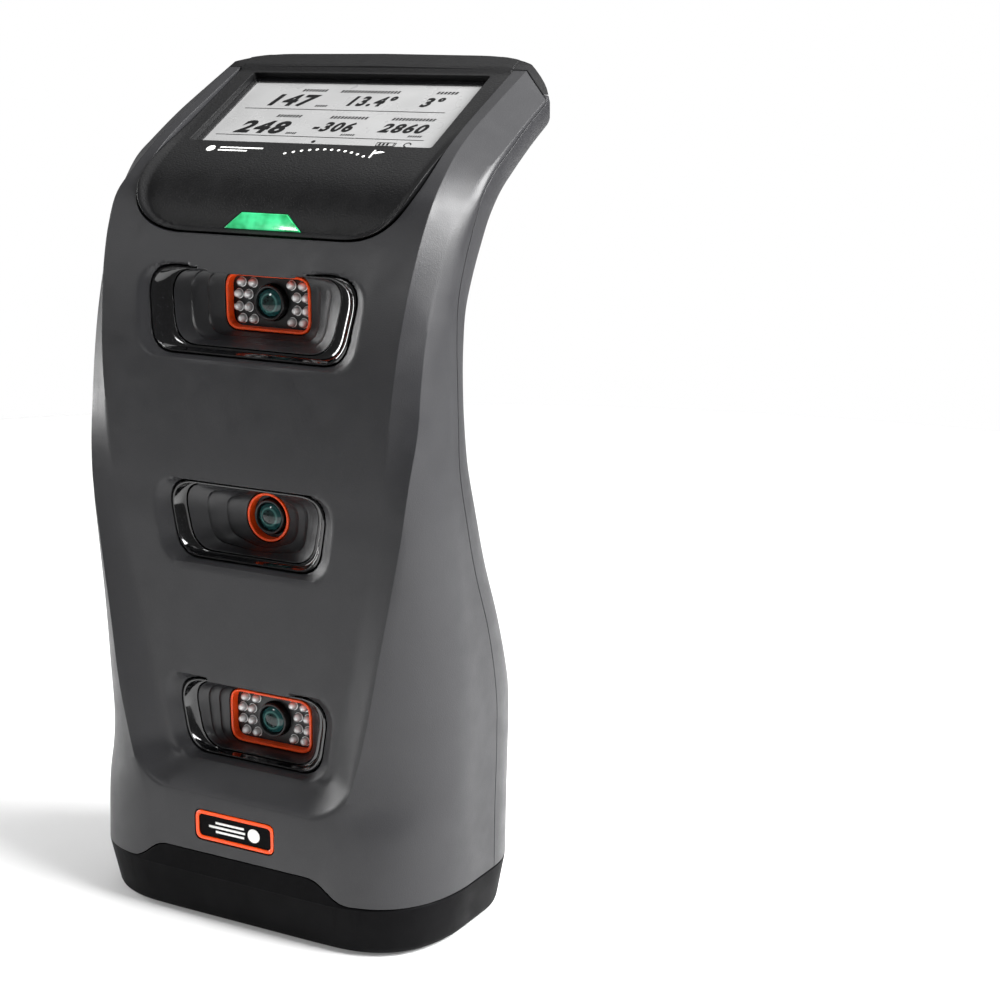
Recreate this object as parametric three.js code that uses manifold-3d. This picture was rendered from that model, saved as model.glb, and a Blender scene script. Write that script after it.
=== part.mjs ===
// Photometric golf launch monitor: a free-standing, S-shaped tower with three cameras looking at the ball
// from its front, a display on its sloping top, and its ports behind a door low on its back.
// Millimetres, +Z up. The cameras look along -Y. The origin is on the ground under the middle of the box.
import * as THREE from 'three';
import { mergeVertices } from 'three/addons/utils/BufferGeometryUtils.js';
import Module from 'manifold-3d';

const wasm = await Module();
wasm.setup();

// ---- Driving dimensions -------------------------------------------------------------------------------
// Depths are first measured from the front of the top camera, then moved so that the box is centred.
const FRONT_Y = -31.2;          // foremost point, the lower front face
const REAR_Y = 76.8;            // back end of the head
const DEPTH_CENTRE = (FRONT_Y + REAR_Y) / 2;
const HEAD_HALF_WIDTH = 76;
const WALL = 2.6;               // shell thickness
const GAP = 0.4;                // between neighbouring pieces
const GROUND_CLEARANCE = 1.2;   // the rubber feet hold the base this far off the ground
const BASE_TOP = 19.8;
const SHELL_BOTTOM = BASE_TOP + GAP;
const TROUGH_FLOOR_Y = -20.8;
const TROUGH_TOP_Z = 160;
const HEAD_END_LEVELS = [[-5, 21], [294, 21], [302, 28], [310, 36], [330, 36]];   // [z, corner radius]
const DISPLAY_TILT = THREE.MathUtils.degToRad(29.3);

// ---- Materials ----------------------------------------------------------------------------------------
function plastic(color, roughness = 0.6) {
  return new THREE.MeshStandardMaterial({ color, roughness, metalness: 0 });
}

function metal(color, roughness = 0.4) {
  return new THREE.MeshStandardMaterial({ color, roughness, metalness: 1 });
}

const GREY_SHELL = plastic(0x4a4a4c, 0.55);
const BLACK_PLASTIC = plastic(0x1c1c1d, 0.5);
const GLOSS_BLACK = plastic(0x0c0c0d, 0.12);
const CONE_BLACK = plastic(0x2b2b2d, 0.65);
const ORANGE = plastic(0xf0501c, 0.4);
const RUBBER = plastic(0x161616, 0.9);
const CIRCUIT_BOARD = plastic(0x1d3a2a, 0.6);
const CLEAR_GREEN = plastic(0x38c283, 0.25);
const LCD_GREY = plastic(0xd6d7d4, 0.3);
const LIGHT_GUIDE = plastic(0xf2f2ee, 0.4);
const LENS_GLASS = plastic(0x0a2b30, 0.05);
const BATTERY_WRAP = plastic(0x23395e, 0.5);
const ALUMINIUM = metal(0xb5b8bb, 0.45);
const STEEL = metal(0x8d9093, 0.35);
const BLACK_METAL = metal(0x232325, 0.4);

// ---- Solid modelling helpers --------------------------------------------------------------------------
function solid(geometry) {
  const bare = geometry.index ? geometry.toNonIndexed() : geometry.clone();
  for (const name of Object.keys(bare.attributes)) {
    if (name !== 'position') bare.deleteAttribute(name);
  }
  const merged = mergeVertices(bare, 1e-4);
  const vertProperties = new Float32Array(merged.attributes.position.array);
  const triVerts = new Uint32Array(merged.index.array);
  const result = new wasm.Manifold(new wasm.Mesh({ numProp: 3, vertProperties, triVerts }));
  if (result.volume() >= 0) return result;
  for (let i = 0; i < triVerts.length; i += 3) {
    [triVerts[i], triVerts[i + 1]] = [triVerts[i + 1], triVerts[i]];
  }
  return new wasm.Manifold(new wasm.Mesh({ numProp: 3, vertProperties, triVerts }));
}

function join(first, ...others) {
  return others.reduce((sum, other) => sum.add(other), first);
}

function cut(first, ...others) {
  return others.reduce((rest, other) => rest.subtract(other), first);
}

const group = new THREE.Group();

function place(name, shape, material) {
  const source = shape.getMesh();
  const geometry = new THREE.BufferGeometry();
  geometry.setAttribute('position', new THREE.BufferAttribute(new Float32Array(source.vertProperties), 3));
  geometry.setIndex(new THREE.BufferAttribute(new Uint32Array(source.triVerts), 1));
  geometry.translate(0, -DEPTH_CENTRE, 0);
  geometry.computeVertexNormals();
  const mesh = new THREE.Mesh(geometry, material);
  mesh.name = name;
  group.add(mesh);
}

function box(x0, x1, y0, y1, z0, z1) {
  const geometry = new THREE.BoxGeometry(x1 - x0, y1 - y0, z1 - z0);
  return solid(geometry.translate((x0 + x1) / 2, (y0 + y1) / 2, (z0 + z1) / 2));
}

// A cylinder along one axis. `centre` gives the other two coordinates, in x, y, z order.
function rod(axis, radius, from, to, centre, segments = 24, endRadius = radius) {
  const geometry = new THREE.CylinderGeometry(endRadius, radius, to - from, segments);
  const middle = (from + to) / 2;
  if (axis === 'x') geometry.rotateZ(-Math.PI / 2).translate(middle, centre[0], centre[1]);
  if (axis === 'y') geometry.translate(centre[0], middle, centre[1]);
  if (axis === 'z') geometry.rotateX(Math.PI / 2).translate(centre[0], centre[1], middle);
  return solid(geometry);
}

const X_AXIS = new THREE.Vector3(1, 0, 0);
const Y_AXIS = new THREE.Vector3(0, 1, 0);
const Z_AXIS = new THREE.Vector3(0, 0, 1);
const EXTRUDE_AXES = {
  x: new THREE.Matrix4().makeBasis(Y_AXIS, Z_AXIS, X_AXIS),
  y: new THREE.Matrix4().makeBasis(X_AXIS, Z_AXIS, Y_AXIS.clone().negate()),
  z: new THREE.Matrix4(),
};

// A prism of a flat outline: (y, z) points along x, (x, z) points along y, (x, y) points along z.
function prism(axis, outline, from, to) {
  const points = outline.map((p) => new THREE.Vector2(p[0], p[1]));
  const settings = { depth: to - from, bevelEnabled: false };
  const geometry = new THREE.ExtrudeGeometry(new THREE.Shape(points), settings);
  geometry.applyMatrix4(EXTRUDE_AXES[axis]);
  const start = axis === 'y' ? to : from;
  const shift = { x: [start, 0, 0], y: [0, start, 0], z: [0, 0, start] }[axis];
  return solid(geometry.translate(...shift));
}

// Rounds every corner [a, b, radius] of a closed outline with an arc-like curve of `steps` pieces.
function rounded(corners, steps = 5) {
  const points = [];
  corners.forEach(([a, b, radius], i) => {
    const corner = new THREE.Vector2(a, b);
    const before = new THREE.Vector2(...corners[(i + corners.length - 1) % corners.length]);
    const after = new THREE.Vector2(...corners[(i + 1) % corners.length]);
    const start = corner.clone().add(before.sub(corner).setLength(radius));
    const end = corner.clone().add(after.sub(corner).setLength(radius));
    const curve = new THREE.QuadraticBezierCurve(start, corner, end);
    curve.getPoints(steps).forEach((p) => points.push([p.x, p.y]));
  });
  return points;
}

function roundedRectangle(halfWidth, low, high, radius, steps = 5) {
  return rounded([[-halfWidth, low, radius], [halfWidth, low, radius],
    [halfWidth, high, radius], [-halfWidth, high, radius]], steps);
}

// A closed solid through rings of equally many points, capped from the middle of its end rings.
function loft(rings) {
  const count = rings[0].length;
  const triangles = [];
  const corner = (p) => triangles.push(p.x, p.y, p.z);
  for (let i = 0; i + 1 < rings.length; i += 1) {
    for (let j = 0; j < count; j += 1) {
      const k = (j + 1) % count;
      [rings[i][j], rings[i][k], rings[i + 1][k]].forEach(corner);
      [rings[i][j], rings[i + 1][k], rings[i + 1][j]].forEach(corner);
    }
  }
  for (const [ring, reverse] of [[rings[0], true], [rings[rings.length - 1], false]]) {
    const middle = ring.reduce((sum, p) => sum.add(p), new THREE.Vector3()).divideScalar(count);
    for (let j = 0; j < count; j += 1) {
      const k = (j + 1) % count;
      (reverse ? [middle, ring[k], ring[j]] : [middle, ring[j], ring[k]]).forEach(corner);
    }
  }
  const geometry = new THREE.BufferGeometry();
  geometry.setAttribute('position', new THREE.BufferAttribute(new Float32Array(triangles), 3));
  return solid(geometry);
}

// ---- The body's skin ----------------------------------------------------------------------------------
// Each station gives the places where the body's long lines cross it, from the bottom up and over the head:
// the front on the centre line, the edge of the front face, the ridge outside it, the corner's control
// point, where the corner meets the side, the seam between the shells, and the back on the centre line.
const STATIONS = [
  {
    front: [-31.2, 19], edge: [30, -31.2, 19], ridge: [41.3, -31.0, 19],
    corner: [73.8, -30.0, 19], side: [75.5, 6, 19], seam: [75.5, 25.2, 19], back: [62.5, 19],
  },
  {
    front: [-30.8, 44], edge: [30, -30.8, 44], ridge: [40.5, -30.4, 44],
    corner: [74.6, -26.5, 44], side: [75.5, 7, 44], seam: [75.5, 25.9, 44], back: [63.5, 44],
  },
  {
    front: [-29.2, 58], edge: [35, -29.2, 58], ridge: [46.5, -28.4, 58],
    corner: [75.3, -17.5, 58], side: [75.5, 8, 58], seam: [75.5, 26.8, 58], back: [64.2, 58],
  },
  {
    front: [-27.3, 70], edge: [38, -27.3, 70], ridge: [50.5, -27.0, 70],
    corner: [75.5, -14.0, 70], side: [75.5, 9, 70], seam: [75.5, 27.3, 70], back: [64.8, 70],
  },
  {
    front: [-26.4, 85], edge: [41.3, -26.4, 85], ridge: [54.0, -26.2, 85],
    corner: [75.5, -12.8, 85], side: [75.5, 9, 85], seam: [75.5, 27.2, 85], back: [64.3, 85],
  },
  {
    front: [-24.5, 110], edge: [46.5, -24.5, 110], ridge: [58.3, -24.4, 110],
    corner: [75.2, -12.4, 110], side: [75.2, 8, 110], seam: [75.2, 22.3, 110], back: [55.5, 110],
  },
  {
    front: [-22.7, 135], edge: [51.8, -22.7, 135], ridge: [62.8, -22.7, 135],
    corner: [74.5, -12.5, 135], side: [74.5, 5, 135], seam: [74.5, 13.7, 135], back: [45.5, 135],
  },
  {
    front: [-20.7, 155], edge: [56.0, -20.7, 155], ridge: [66.2, -21.1, 155],
    corner: [74.0, -12.0, 155], side: [74.0, 2, 155], seam: [74.0, 8.6, 155], back: [39.0, 155],
  },
  {
    front: [-20.4, 172], edge: [58.5, -20.2, 172], ridge: [68.1, -18.9, 172],
    corner: [73.2, -10.0, 172], side: [73.2, 0, 172], seam: [73.2, 5.8, 172], back: [34.0, 171],
  },
  {
    front: [-19.8, 190], edge: [60.4, -19.2, 190], ridge: [69.5, -15.3, 189],
    corner: [72.5, -7.0, 188], side: [72.6, 1, 188], seam: [72.5, 6.2, 187.5], back: [30.0, 186],
  },
  {
    front: [-18.8, 206], edge: [61.9, -17.9, 205.8], ridge: [69.6, -13.0, 204.5],
    corner: [72.4, -6.0, 203.5], side: [72.5, 0.8, 202.6], seam: [72.4, 5.9, 201.6], back: [28.6, 198],
  },
  {
    front: [-16.6, 221], edge: [63.1, -15.6, 220.5], ridge: [69.8, -9.9, 219.4],
    corner: [72.8, -3.5, 218.2], side: [72.8, 1.2, 217.3], seam: [72.8, 4.9, 216.4], back: [29.6, 209],
  },
  {
    front: [-12.6, 237], edge: [64.6, -11.8, 236.5], ridge: [70.5, -4.9, 234.8],
    corner: [73.2, -0.5, 232.8], side: [73.3, 2.8, 231.8], seam: [73.3, 5.2, 231.0], back: [32.0, 219],
  },
  {
    front: [-7.5, 251], edge: [65.8, -6.8, 250.4], ridge: [71.6, 0.8, 249.0],
    corner: [74.0, 4.2, 247.0], side: [74.1, 6.9, 245.8], seam: [74.1, 9.0, 244.8], back: [36.0, 229],
  },
  {
    front: [-1.5, 262], edge: [66.4, -0.8, 261.4], ridge: [72.9, 7.2, 258.8],
    corner: [74.9, 9.8, 257.2], side: [75.0, 11.7, 256.2], seam: [75.0, 13.0, 255.4], back: [41.0, 239],
  },
  {
    front: [6.5, 269.8], edge: [65.6, 7.0, 269.0], ridge: [74.0, 13.6, 265.4],
    corner: [75.6, 15.2, 264.6], side: [75.6, 16.2, 264.2], seam: [75.6, 17.0, 263.9], back: [46.6, 248],
  },
  {
    front: [18.5, 279], edge: [64.6, 18.9, 278.3], ridge: [75.2, 22.4, 273.2],
    corner: [75.9, 23.2, 272.8], side: [76.0, 23.8, 272.4], seam: [76.0, 24.6, 271.9], back: [53.2, 256.4],
  },
  {
    front: [30, 285.9], edge: [64.3, 30.4, 285.4], ridge: [75.8, 33.4, 279.6],
    corner: [76.0, 34.0, 279.2], side: [76.0, 34.4, 278.9], seam: [76.0, 35.1, 278.5], back: [61.0, 262.8],
  },
  {
    front: [46, 294.2], edge: [64.5, 46.2, 293.7], ridge: [75.9, 49.2, 288.5],
    corner: [76.0, 49.6, 288.2], side: [76.0, 49.9, 288.0], seam: [76.0, 50.5, 287.7], back: [71.0, 269.5],
  },
  {
    front: [63.3, 303.1], edge: [65.0, 63.4, 302.6], ridge: [75.9, 66.0, 296.9],
    corner: [76.0, 66.3, 296.6], side: [76.0, 66.6, 296.4], seam: [76.0, 67.2, 296.1], back: [82.0, 276.5],
  },
  {
    front: [80, 311.7], edge: [65.4, 80.1, 311.2], ridge: [75.9, 82.6, 305.5],
    corner: [76.0, 82.9, 305.2], side: [76.0, 83.2, 305.0], seam: [76.0, 83.8, 304.7], back: [95.0, 284.5],
  },
];

const CORNER_STEPS = 5;
const REAR_STEPS = 6;
const REAR_FLAT = 0.44;         // part of the half width over which the back is flat

function point(place3) {
  return new THREE.Vector3(...place3);
}

// The right half of one section of the skin, from the front to the back on the centre line.
function halfSection(station) {
  const front = point([0, ...station.front]);
  const edge = point(station.edge);
  const turnIn = [station.ridge, station.corner, station.side].map(point);
  const corner = new THREE.QuadraticBezierCurve3(...turnIn);
  const seam = point(station.seam);
  const back = point([0, ...station.back]);
  const flat = seam.x * REAR_FLAT;
  const points = [front, front.clone().lerp(edge, 0.5), edge, ...corner.getPoints(CORNER_STEPS)];
  for (let i = 0; i <= REAR_STEPS; i += 1) {
    const turn = (Math.PI / 2) * (i / REAR_STEPS);
    const rear = seam.clone().lerp(back, Math.sin(turn));
    rear.x = flat + (seam.x - flat) * Math.cos(turn);
    points.push(rear);
  }
  points.push(back);
  return points;
}

function mirrored(half) {
  const left = half.slice(1, -1).reverse().map((p) => new THREE.Vector3(-p.x, p.y, p.z));
  return [...half, ...left];
}

// Smooth rings through the stations, `steps` to each interval.
function skinRings(stations, steps) {
  const sections = stations.map(halfSection);
  const curves = sections[0].map((_, j) => new THREE.CatmullRomCurve3(sections.map((s) => s[j])));
  const count = (stations.length - 1) * steps;
  const rings = [];
  for (let i = 0; i <= count; i += 1) {
    rings.push(mirrored(curves.map((curve) => curve.getPoint(i / count))));
  }
  return rings;
}

// The station of the inner face of the wall, kept behind the floor of the trough in the front.
function insetStation(station) {
  const inward = new THREE.Vector2(...station.back).sub(new THREE.Vector2(...station.front)).normalize();
  const inTrough = station.front[1] > 50 && station.front[1] < TROUGH_TOP_Z;
  const shrink = ([x, y, z], side, deep) => [
    x - side * WALL, y + inward.x * deep * WALL, z + inward.y * deep * WALL];
  const front = shrink([0, ...station.front], 0, 1);
  const edge = shrink(station.edge, 0.4, 1);
  if (inTrough) {
    front[1] = TROUGH_FLOOR_Y + WALL;
    edge[1] = front[1];
  }
  return {
    front: front.slice(1),
    edge,
    ridge: shrink(station.ridge, 1.1, 1),
    corner: shrink(station.corner, 1, 1),
    side: shrink(station.side, 1, 0),
    seam: shrink(station.seam, 1, 0),
    back: shrink([0, ...station.back], 0, -1).slice(1),
  };
}

// The block that ends the head at the back, with corners that grow rounder towards the top.
function headEnd(inset) {
  const half = HEAD_HALF_WIDTH + 1 - inset;
  const end = REAR_Y - inset;
  return loft(HEAD_END_LEVELS.map(([z, radius]) => {
    const turn = radius - inset;
    const outline = rounded([[-half, -60, 1], [half, -60, 1], [half, end, turn], [-half, end, turn]], 6);
    return outline.map(([x, y]) => new THREE.Vector3(x, y, z));
  }));
}

// Divides every side of an outline that is longer than `longest` into equal pieces.
function divided(outline, longest, pieces) {
  return outline.flatMap((start, i) => {
    const end = outline[(i + 1) % outline.length];
    const long = Math.hypot(end[0] - start[0], end[1] - start[1]) > longest;
    const count = long ? pieces : 1;
    return Array.from({ length: count }, (_, k) => [
      THREE.MathUtils.lerp(start[0], end[0], k / count), THREE.MathUtils.lerp(start[1], end[1], k / count)]);
  });
}

// The trough's side walls run from the crease at its floor out through the ridge of the skin.
function troughCutter() {
  const far = 1.6;
  const outline = (topHalf, bottomHalf, bottom, radius) => divided(rounded([[-bottomHalf, bottom, radius],
    [bottomHalf, bottom, radius], [topHalf, TROUGH_TOP_Z, 1], [-topHalf, TROUGH_TOP_Z, 1]], 6), 20, 6);
  const crease = outline(57.0, 36.5, 60.5, 7);
  const ridge = outline(66.9, 47.4, 50.2, 13);
  const { mapLinear, clamp } = THREE.MathUtils;
  const ridgeDepth = (z) => mapLinear(clamp(z, 62, TROUGH_TOP_Z), 62, 155, -27.9, -20.9);
  const lowDepth = (z) => mapLinear(Math.min(z, 62), 50, 62, -30.4, -27.9);
  const floor = crease.map(([x, z]) => new THREE.Vector3(x, TROUGH_FLOOR_Y, z));
  const rim = ridge.map(([x, z], i) => {
    const y = z < 62 ? lowDepth(z) : ridgeDepth(z);
    return floor[i].clone().lerp(new THREE.Vector3(x, y, z), far);
  });
  const outside = rim.map((p) => new THREE.Vector3(p.x, -70, p.z));
  return loft([floor, rim, outside]);
}

// ---- Cameras ------------------------------------------------------------------------------------------
// `z` is the lens axis and `lensY` the plane of its front. Three nested outlines, each [half width, lowest,
// highest] about the lens axis: the recess in the front face, the window frame in it, and the cone inside
// that. `lean` is how far the front face leans back per millimetre of height.
const CAMERAS = {
  top: {
    z: 225.9, lensY: 0, faceY: -15.6, lean: 0.17, lamps: true,
    recess: [51.0, -19.2, 13.4], frame: [45.3, -17.6, 12.4], cone: [37.6, -15.2, 11.4],
  },
  middle: {
    z: 149.5, lensY: -3.4, faceY: -20.8, lean: 0, lamps: false,
    recess: [40.2, -16.2, 14.2], frame: [34.7, -14.6, 13.6], cone: [30.4, -12.6, 12.3],
  },
  bottom: {
    z: 73.3, lensY: -5.2, faceY: -20.8, lean: 0, lamps: true,
    recess: [38.4, -13.3, 18.0], frame: [33.4, -12.4, 16.0], cone: [28.9, -11.4, 14.5],
  },
};
const FRAME_DEPTH = 3.4;        // from the front face back to the window frame
const FRAME_SLOPE = 2.6;         // how much deeper the frame's inner edge is than its rim
const CONE_DEPTH = 7.6;
const CONE_STEPS = 3;
const TRIM_HALF = 18;
const TRIM_HALF_HEIGHT = 10.1;
const TRIM_WALL = 1.0;
const RING_RADIUS = 9;
const BARREL_RADIUS = 6.3;
const LED_RADIUS = 1.55;
const LED_ROWS = [[6.49, 13.08], [6.49, 8.18], [2.27, 14.47], [2.27, 10.24]];

// An outline about a lens axis, wider at its top corners than at its bottom ones.
function bezelOutline([half, low, high], grow = 0) {
  const narrow = half - 5;
  const tall = high - low;
  const lowRadius = Math.min(9, tall / 3);
  const highRadius = Math.min(12, tall / 2.4);
  return rounded([[-narrow - grow, low - grow, lowRadius], [narrow + grow, low - grow, lowRadius],
    [half + grow, high + grow, highRadius], [-half - grow, high + grow, highRadius]]);
}

function bezelRing(camera, outline, depth) {
  return outline.map(([x, v]) => new THREE.Vector3(x, camera.faceY + depth + camera.lean * v, camera.z + v));
}

// The flared recess in the front face and the opening that the camera's bezel fills.
function recessCutter(camera) {
  const seat = bezelOutline(camera.frame, GAP);
  const outer = bezelRing(camera, bezelOutline(camera.recess), 0);
  const inner = bezelRing(camera, seat, FRAME_DEPTH);
  const outside = outer.map((p, i) => p.clone().lerp(inner[i], -1.2));
  return join(loft([outside, outer, inner]), loft([inner, bezelRing(camera, seat, 26)]));
}

// The frame's face slopes in from its rim to the cone.
function windowFrame(camera) {
  const inner = bezelOutline(camera.cone);
  const back = FRAME_DEPTH + CONE_DEPTH;
  const body = loft([bezelRing(camera, bezelOutline(camera.frame, -0.6), FRAME_DEPTH - 0.4),
    bezelRing(camera, bezelOutline(camera.frame), FRAME_DEPTH + 0.2),
    bezelRing(camera, bezelOutline(camera.frame), back)]);
  const slope = loft([bezelRing(camera, bezelOutline(camera.frame, -0.6), FRAME_DEPTH - 0.8),
    bezelRing(camera, inner, FRAME_DEPTH + FRAME_SLOPE), bezelRing(camera, inner, back + 1)]);
  return cut(body, slope);
}

function circleOutline(radius, angles) {
  return angles.map((angle) => [radius * Math.cos(angle), radius * Math.sin(angle)]);
}

// Where rays from the lens axis at the given angles leave an outline.
function rayOutline(outline, angles) {
  return angles.map((angle) => {
    const ray = [Math.cos(angle), Math.sin(angle)];
    let far = 0;
    outline.forEach(([ax, av], i) => {
      const [bx, bv] = outline[(i + 1) % outline.length];
      const across = ray[0] * (bv - av) - ray[1] * (bx - ax);
      const along = (ax * (bv - av) - av * (bx - ax)) / across;
      const part = (ax * ray[1] - av * ray[0]) / across;
      if (part >= 0 && part <= 1 && along > far) far = along;
    });
    return [ray[0] * far, ray[1] * far];
  });
}

const RING_ANGLES = Array.from({ length: 32 }, (_, i) => (i / 32) * 2 * Math.PI);

function trimOutline(camera, grow) {
  if (!camera.lamps) return circleOutline(RING_RADIUS + grow, RING_ANGLES);
  return roundedRectangle(TRIM_HALF + grow, -TRIM_HALF_HEIGHT - grow, TRIM_HALF_HEIGHT + grow, 5.5 + grow);
}

// The stepped funnel between the window frame and the coloured trim: terraces that fall towards the lens.
function coneBezel(camera) {
  const outline = bezelOutline(camera.cone, -GAP);
  const rim = camera.lamps ? outline : rayOutline(outline, RING_ANGLES);
  const from = bezelRing(camera, rim, FRAME_DEPTH + FRAME_SLOPE + 0.6);
  const to = trimOutline(camera, GAP).map(([x, v]) => new THREE.Vector3(x, camera.lensY - 1.6, camera.z + v));
  const terraces = [];
  for (let i = 0; i < CONE_STEPS; i += 1) {
    const at = (t, drop) => from.map((p, j) => p.clone().lerp(to[j], t).add(new THREE.Vector3(0, drop, 0)));
    terraces.push(at(i / CONE_STEPS, i ? 0.9 : 0), at((i + 0.94) / CONE_STEPS, 0));
  }
  terraces.push(to);
  const front = from.map((p) => new THREE.Vector3(p.x, p.y - 12, p.z));
  const back = camera.lensY + 1.2;
  const blank = loft([from, from.map((p) => new THREE.Vector3(p.x, back, p.z))]);
  const hollow = loft([front, ...terraces, to.map((p) => new THREE.Vector3(p.x, back + 3, p.z))]);
  return cut(blank, hollow);
}

function trim(camera) {
  const front = camera.lensY - 1.8;
  const back = camera.lensY + 1.4;
  const opening = prism('y', trimOutline(camera, -TRIM_WALL), front - 1, back + 1);
  const ring = cut(prism('y', trimOutline(camera, 0), front, back), opening);
  return ring.translate(0, 0, camera.z);
}

function ledBoard(camera) {
  const front = camera.lensY + 1.7;
  const board = prism('y', roundedRectangle(17.6, -10.4, 10.4, 2), front, front + 1.6);
  const lensHole = rod('y', BARREL_RADIUS + GAP, front - 2, front + 4, [0, 0]);
  const lampProfile = [[0, -0.9], [1.0, -0.5], [LED_RADIUS, 0.7], [LED_RADIUS, 2.1], [0, 2.1]];
  const lamp = solid(new THREE.LatheGeometry(lampProfile.map((p) => new THREE.Vector2(...p)), 7));
  const lamps = [];
  for (const [row, column] of LED_ROWS) {
    for (const [side, level] of [[-1, -1], [1, -1], [1, 1], [-1, 1]]) {
      lamps.push(lamp.translate(side * column, camera.lensY, level * row));
    }
  }
  return cut(join(board, ...lamps), lensHole).translate(0, 0, camera.z);
}

function lensBarrel(camera) {
  const front = camera.lensY - 1.2;
  const profile = [[0, 2.2], [5.2, 2.2], [5.2, 0.6], [5.5, 0], [BARREL_RADIUS, 0.4], [BARREL_RADIUS, 3.4],
    [5.6, 3.8], [5.6, 9.2], [0, 9.2]];
  const lathe = new THREE.LatheGeometry(profile.map((p) => new THREE.Vector2(...p)), 20);
  return solid(lathe).translate(0, front, camera.z);
}

function lensGlass(camera) {
  const front = camera.lensY - 1.2;
  const profile = [[0, -0.35], [2.4, -0.1], [4.5, 0.8], [4.9, 1.2], [4.9, 1.8], [0, 1.8]];
  const lathe = new THREE.LatheGeometry(profile.map((p) => new THREE.Vector2(...p)), 24);
  return solid(lathe).translate(0, front, camera.z);
}

// The plain disc that closes the gap between a round trim and its lens.
function lensCollar(camera) {
  const front = camera.lensY + 1.7;
  const disc = rod('y', RING_RADIUS + GAP, front, front + 1.2, [0, 0], 32);
  return cut(disc, rod('y', BARREL_RADIUS + GAP, front - 1, front + 2, [0, 0])).translate(0, 0, camera.z);
}

function sensorBoard(camera) {
  const front = camera.lensY + 8.0 + GAP;
  const board = box(-15, 15, front, front + 1.6, -11.5, 11.5);
  const connector = box(-5, 5, front + 1.5, front + 3.6, -10.5, -7.5);
  const chip = box(-4, 4, front + 1.5, front + 2.6, -3.5, 4.5);
  return join(board, connector, chip).translate(0, 0, camera.z);
}

// ---- Shells -------------------------------------------------------------------------------------------
// The seam seen from the side, from the bottom to the end of the head, then up across the end of the bevel.
const SEAM_END = [[61.5, 293.4], [68.0, 305.2], [71.4, 311.6], [80, 327]];

function seamLine(shift) {
  const curve = skinRings(STATIONS, 2).map((ring) => ring[3 + CORNER_STEPS]).map((p) => [p.y, p.z]);
  const points = [[25.2, -5], ...curve.filter(([y]) => y < 59.5), ...SEAM_END];
  return points.map(([y, z], i) => {
    const before = points[Math.max(i - 1, 0)];
    const after = points[Math.min(i + 1, points.length - 1)];
    const normal = new THREE.Vector2(after[1] - before[1], before[0] - after[0]).setLength(shift);
    return [y + normal.x, z + normal.y];
  });
}

function frontRegion(shift) {
  return prism('x', [...seamLine(shift), [-80, 327], [-80, -5]], -90, 90);
}

// The display housing's outline seen from the front, with large round lower corners.
const POD_HALF = 59.8;
const POD_LOW = 249.4;

function podOutline(inset) {
  return rounded([[-POD_HALF + inset, POD_LOW + inset, 26], [POD_HALF - inset, POD_LOW + inset, 26],
    [POD_HALF - inset, 330, 1], [-POD_HALF + inset, 330, 1]], 8);
}

// The base is raised across the middle of the front, and the front shell is notched to match.
function humpOutline(grow) {
  const slant = 10.5;
  const half = 33.8 + grow;
  const foot = BASE_TOP + 0.5 + grow;
  const top = 27.7 + grow;
  return [[-half - slant - 1, BASE_TOP - 1], [half + slant + 1, BASE_TOP - 1], [half + slant, foot],
    [half, top], [-half, top], [-half - slant, foot]];
}

const BADGE = { half: 17.2, low: 33.2, high: 44.2, radius: 3, face: -31.1, rim: 1.3 };
const PORT_BAY = { half: 31, low: 48, high: 74, face: 64.2, depth: 13 };
const BUTTON = { z: 283, radius: 6, travel: 1.2 };
const SHELL_SCREWS = [[-46, 34], [46, 34], [-46, 92], [46, 92], [-40, 200], [40, 200]];

function badgeOutline(inset, radius) {
  return roundedRectangle(BADGE.half - inset, BADGE.low + inset, BADGE.high - inset, radius);
}

function bodyWall() {
  const outer = skinRings(STATIONS, 2);
  const inner = skinRings(STATIONS.map(insetStation), 1);
  const skin = loft(outer).intersect(headEnd(0));
  const first = inner[0].map((p) => new THREE.Vector3(p.x, p.y, p.z - 8));
  const hollow = loft([first, ...inner]).intersect(headEnd(WALL * 1.3));
  return { skin, hollow };
}

const { skin: SKIN, hollow: HOLLOW } = bodyWall();
const BODY_WALL = cut(SKIN, HOLLOW, box(-90, 90, -60, 90, -10, SHELL_BOTTOM));

// The wall at the end of the head above the rear shell, which belongs to the display housing.
const CAP_BOTTOM = 296.4;

function capRegion(shift) {
  return cut(box(-90, 90, 40, 90, CAP_BOTTOM + shift, 330), frontRegion(shift));
}

function frontShell() {
  const recesses = Object.values(CAMERAS).map(recessCutter);
  const badgeSeat = prism('y', badgeOutline(-GAP, BADGE.radius), -60, BADGE.face + 2.2);
  const hump = prism('y', humpOutline(GAP), -60, -10);
  const podOpening = prism('y', podOutline(0), -60, 90);
  const half = BODY_WALL.intersect(frontRegion(-GAP / 2));
  return cut(half, troughCutter(), ...recesses, badgeSeat, hump, podOpening);
}

function rearShell() {
  const half = cut(BODY_WALL, frontRegion(GAP / 2), capRegion(-GAP / 2));
  const bay = PORT_BAY;
  const bayOpening = prism('y', roundedRectangle(bay.half, bay.low, bay.high, 1, 2), 40, 90);
  const buttonHole = rod('y', BUTTON.radius + GAP, 60, 90, [0, BUTTON.z]);
  const holes = SHELL_SCREWS.map(([x, z]) => rod('y', 1.9, 0, 90, [x, z], 12));
  const counterbore = ([x, z]) => rod('y', 3.7, backDepthAt(x, z) - 1.6, 90, [x, z], 20);
  return cut(half, bayOpening, buttonHole, ...holes, ...SHELL_SCREWS.map(counterbore));
}

// ---- Display ------------------------------------------------------------------------------------------
// Places on the display are given as across, up the slope and out of it, about the window's centre.
const WINDOW = { y: 44.6, z: 291.3, half: 51.9, halfSlope: 23.75 };

function onDisplay(shape) {
  return shape.rotate(THREE.MathUtils.radToDeg(DISPLAY_TILT), 0, 0).translate(0, WINDOW.y, WINDOW.z);
}

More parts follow.
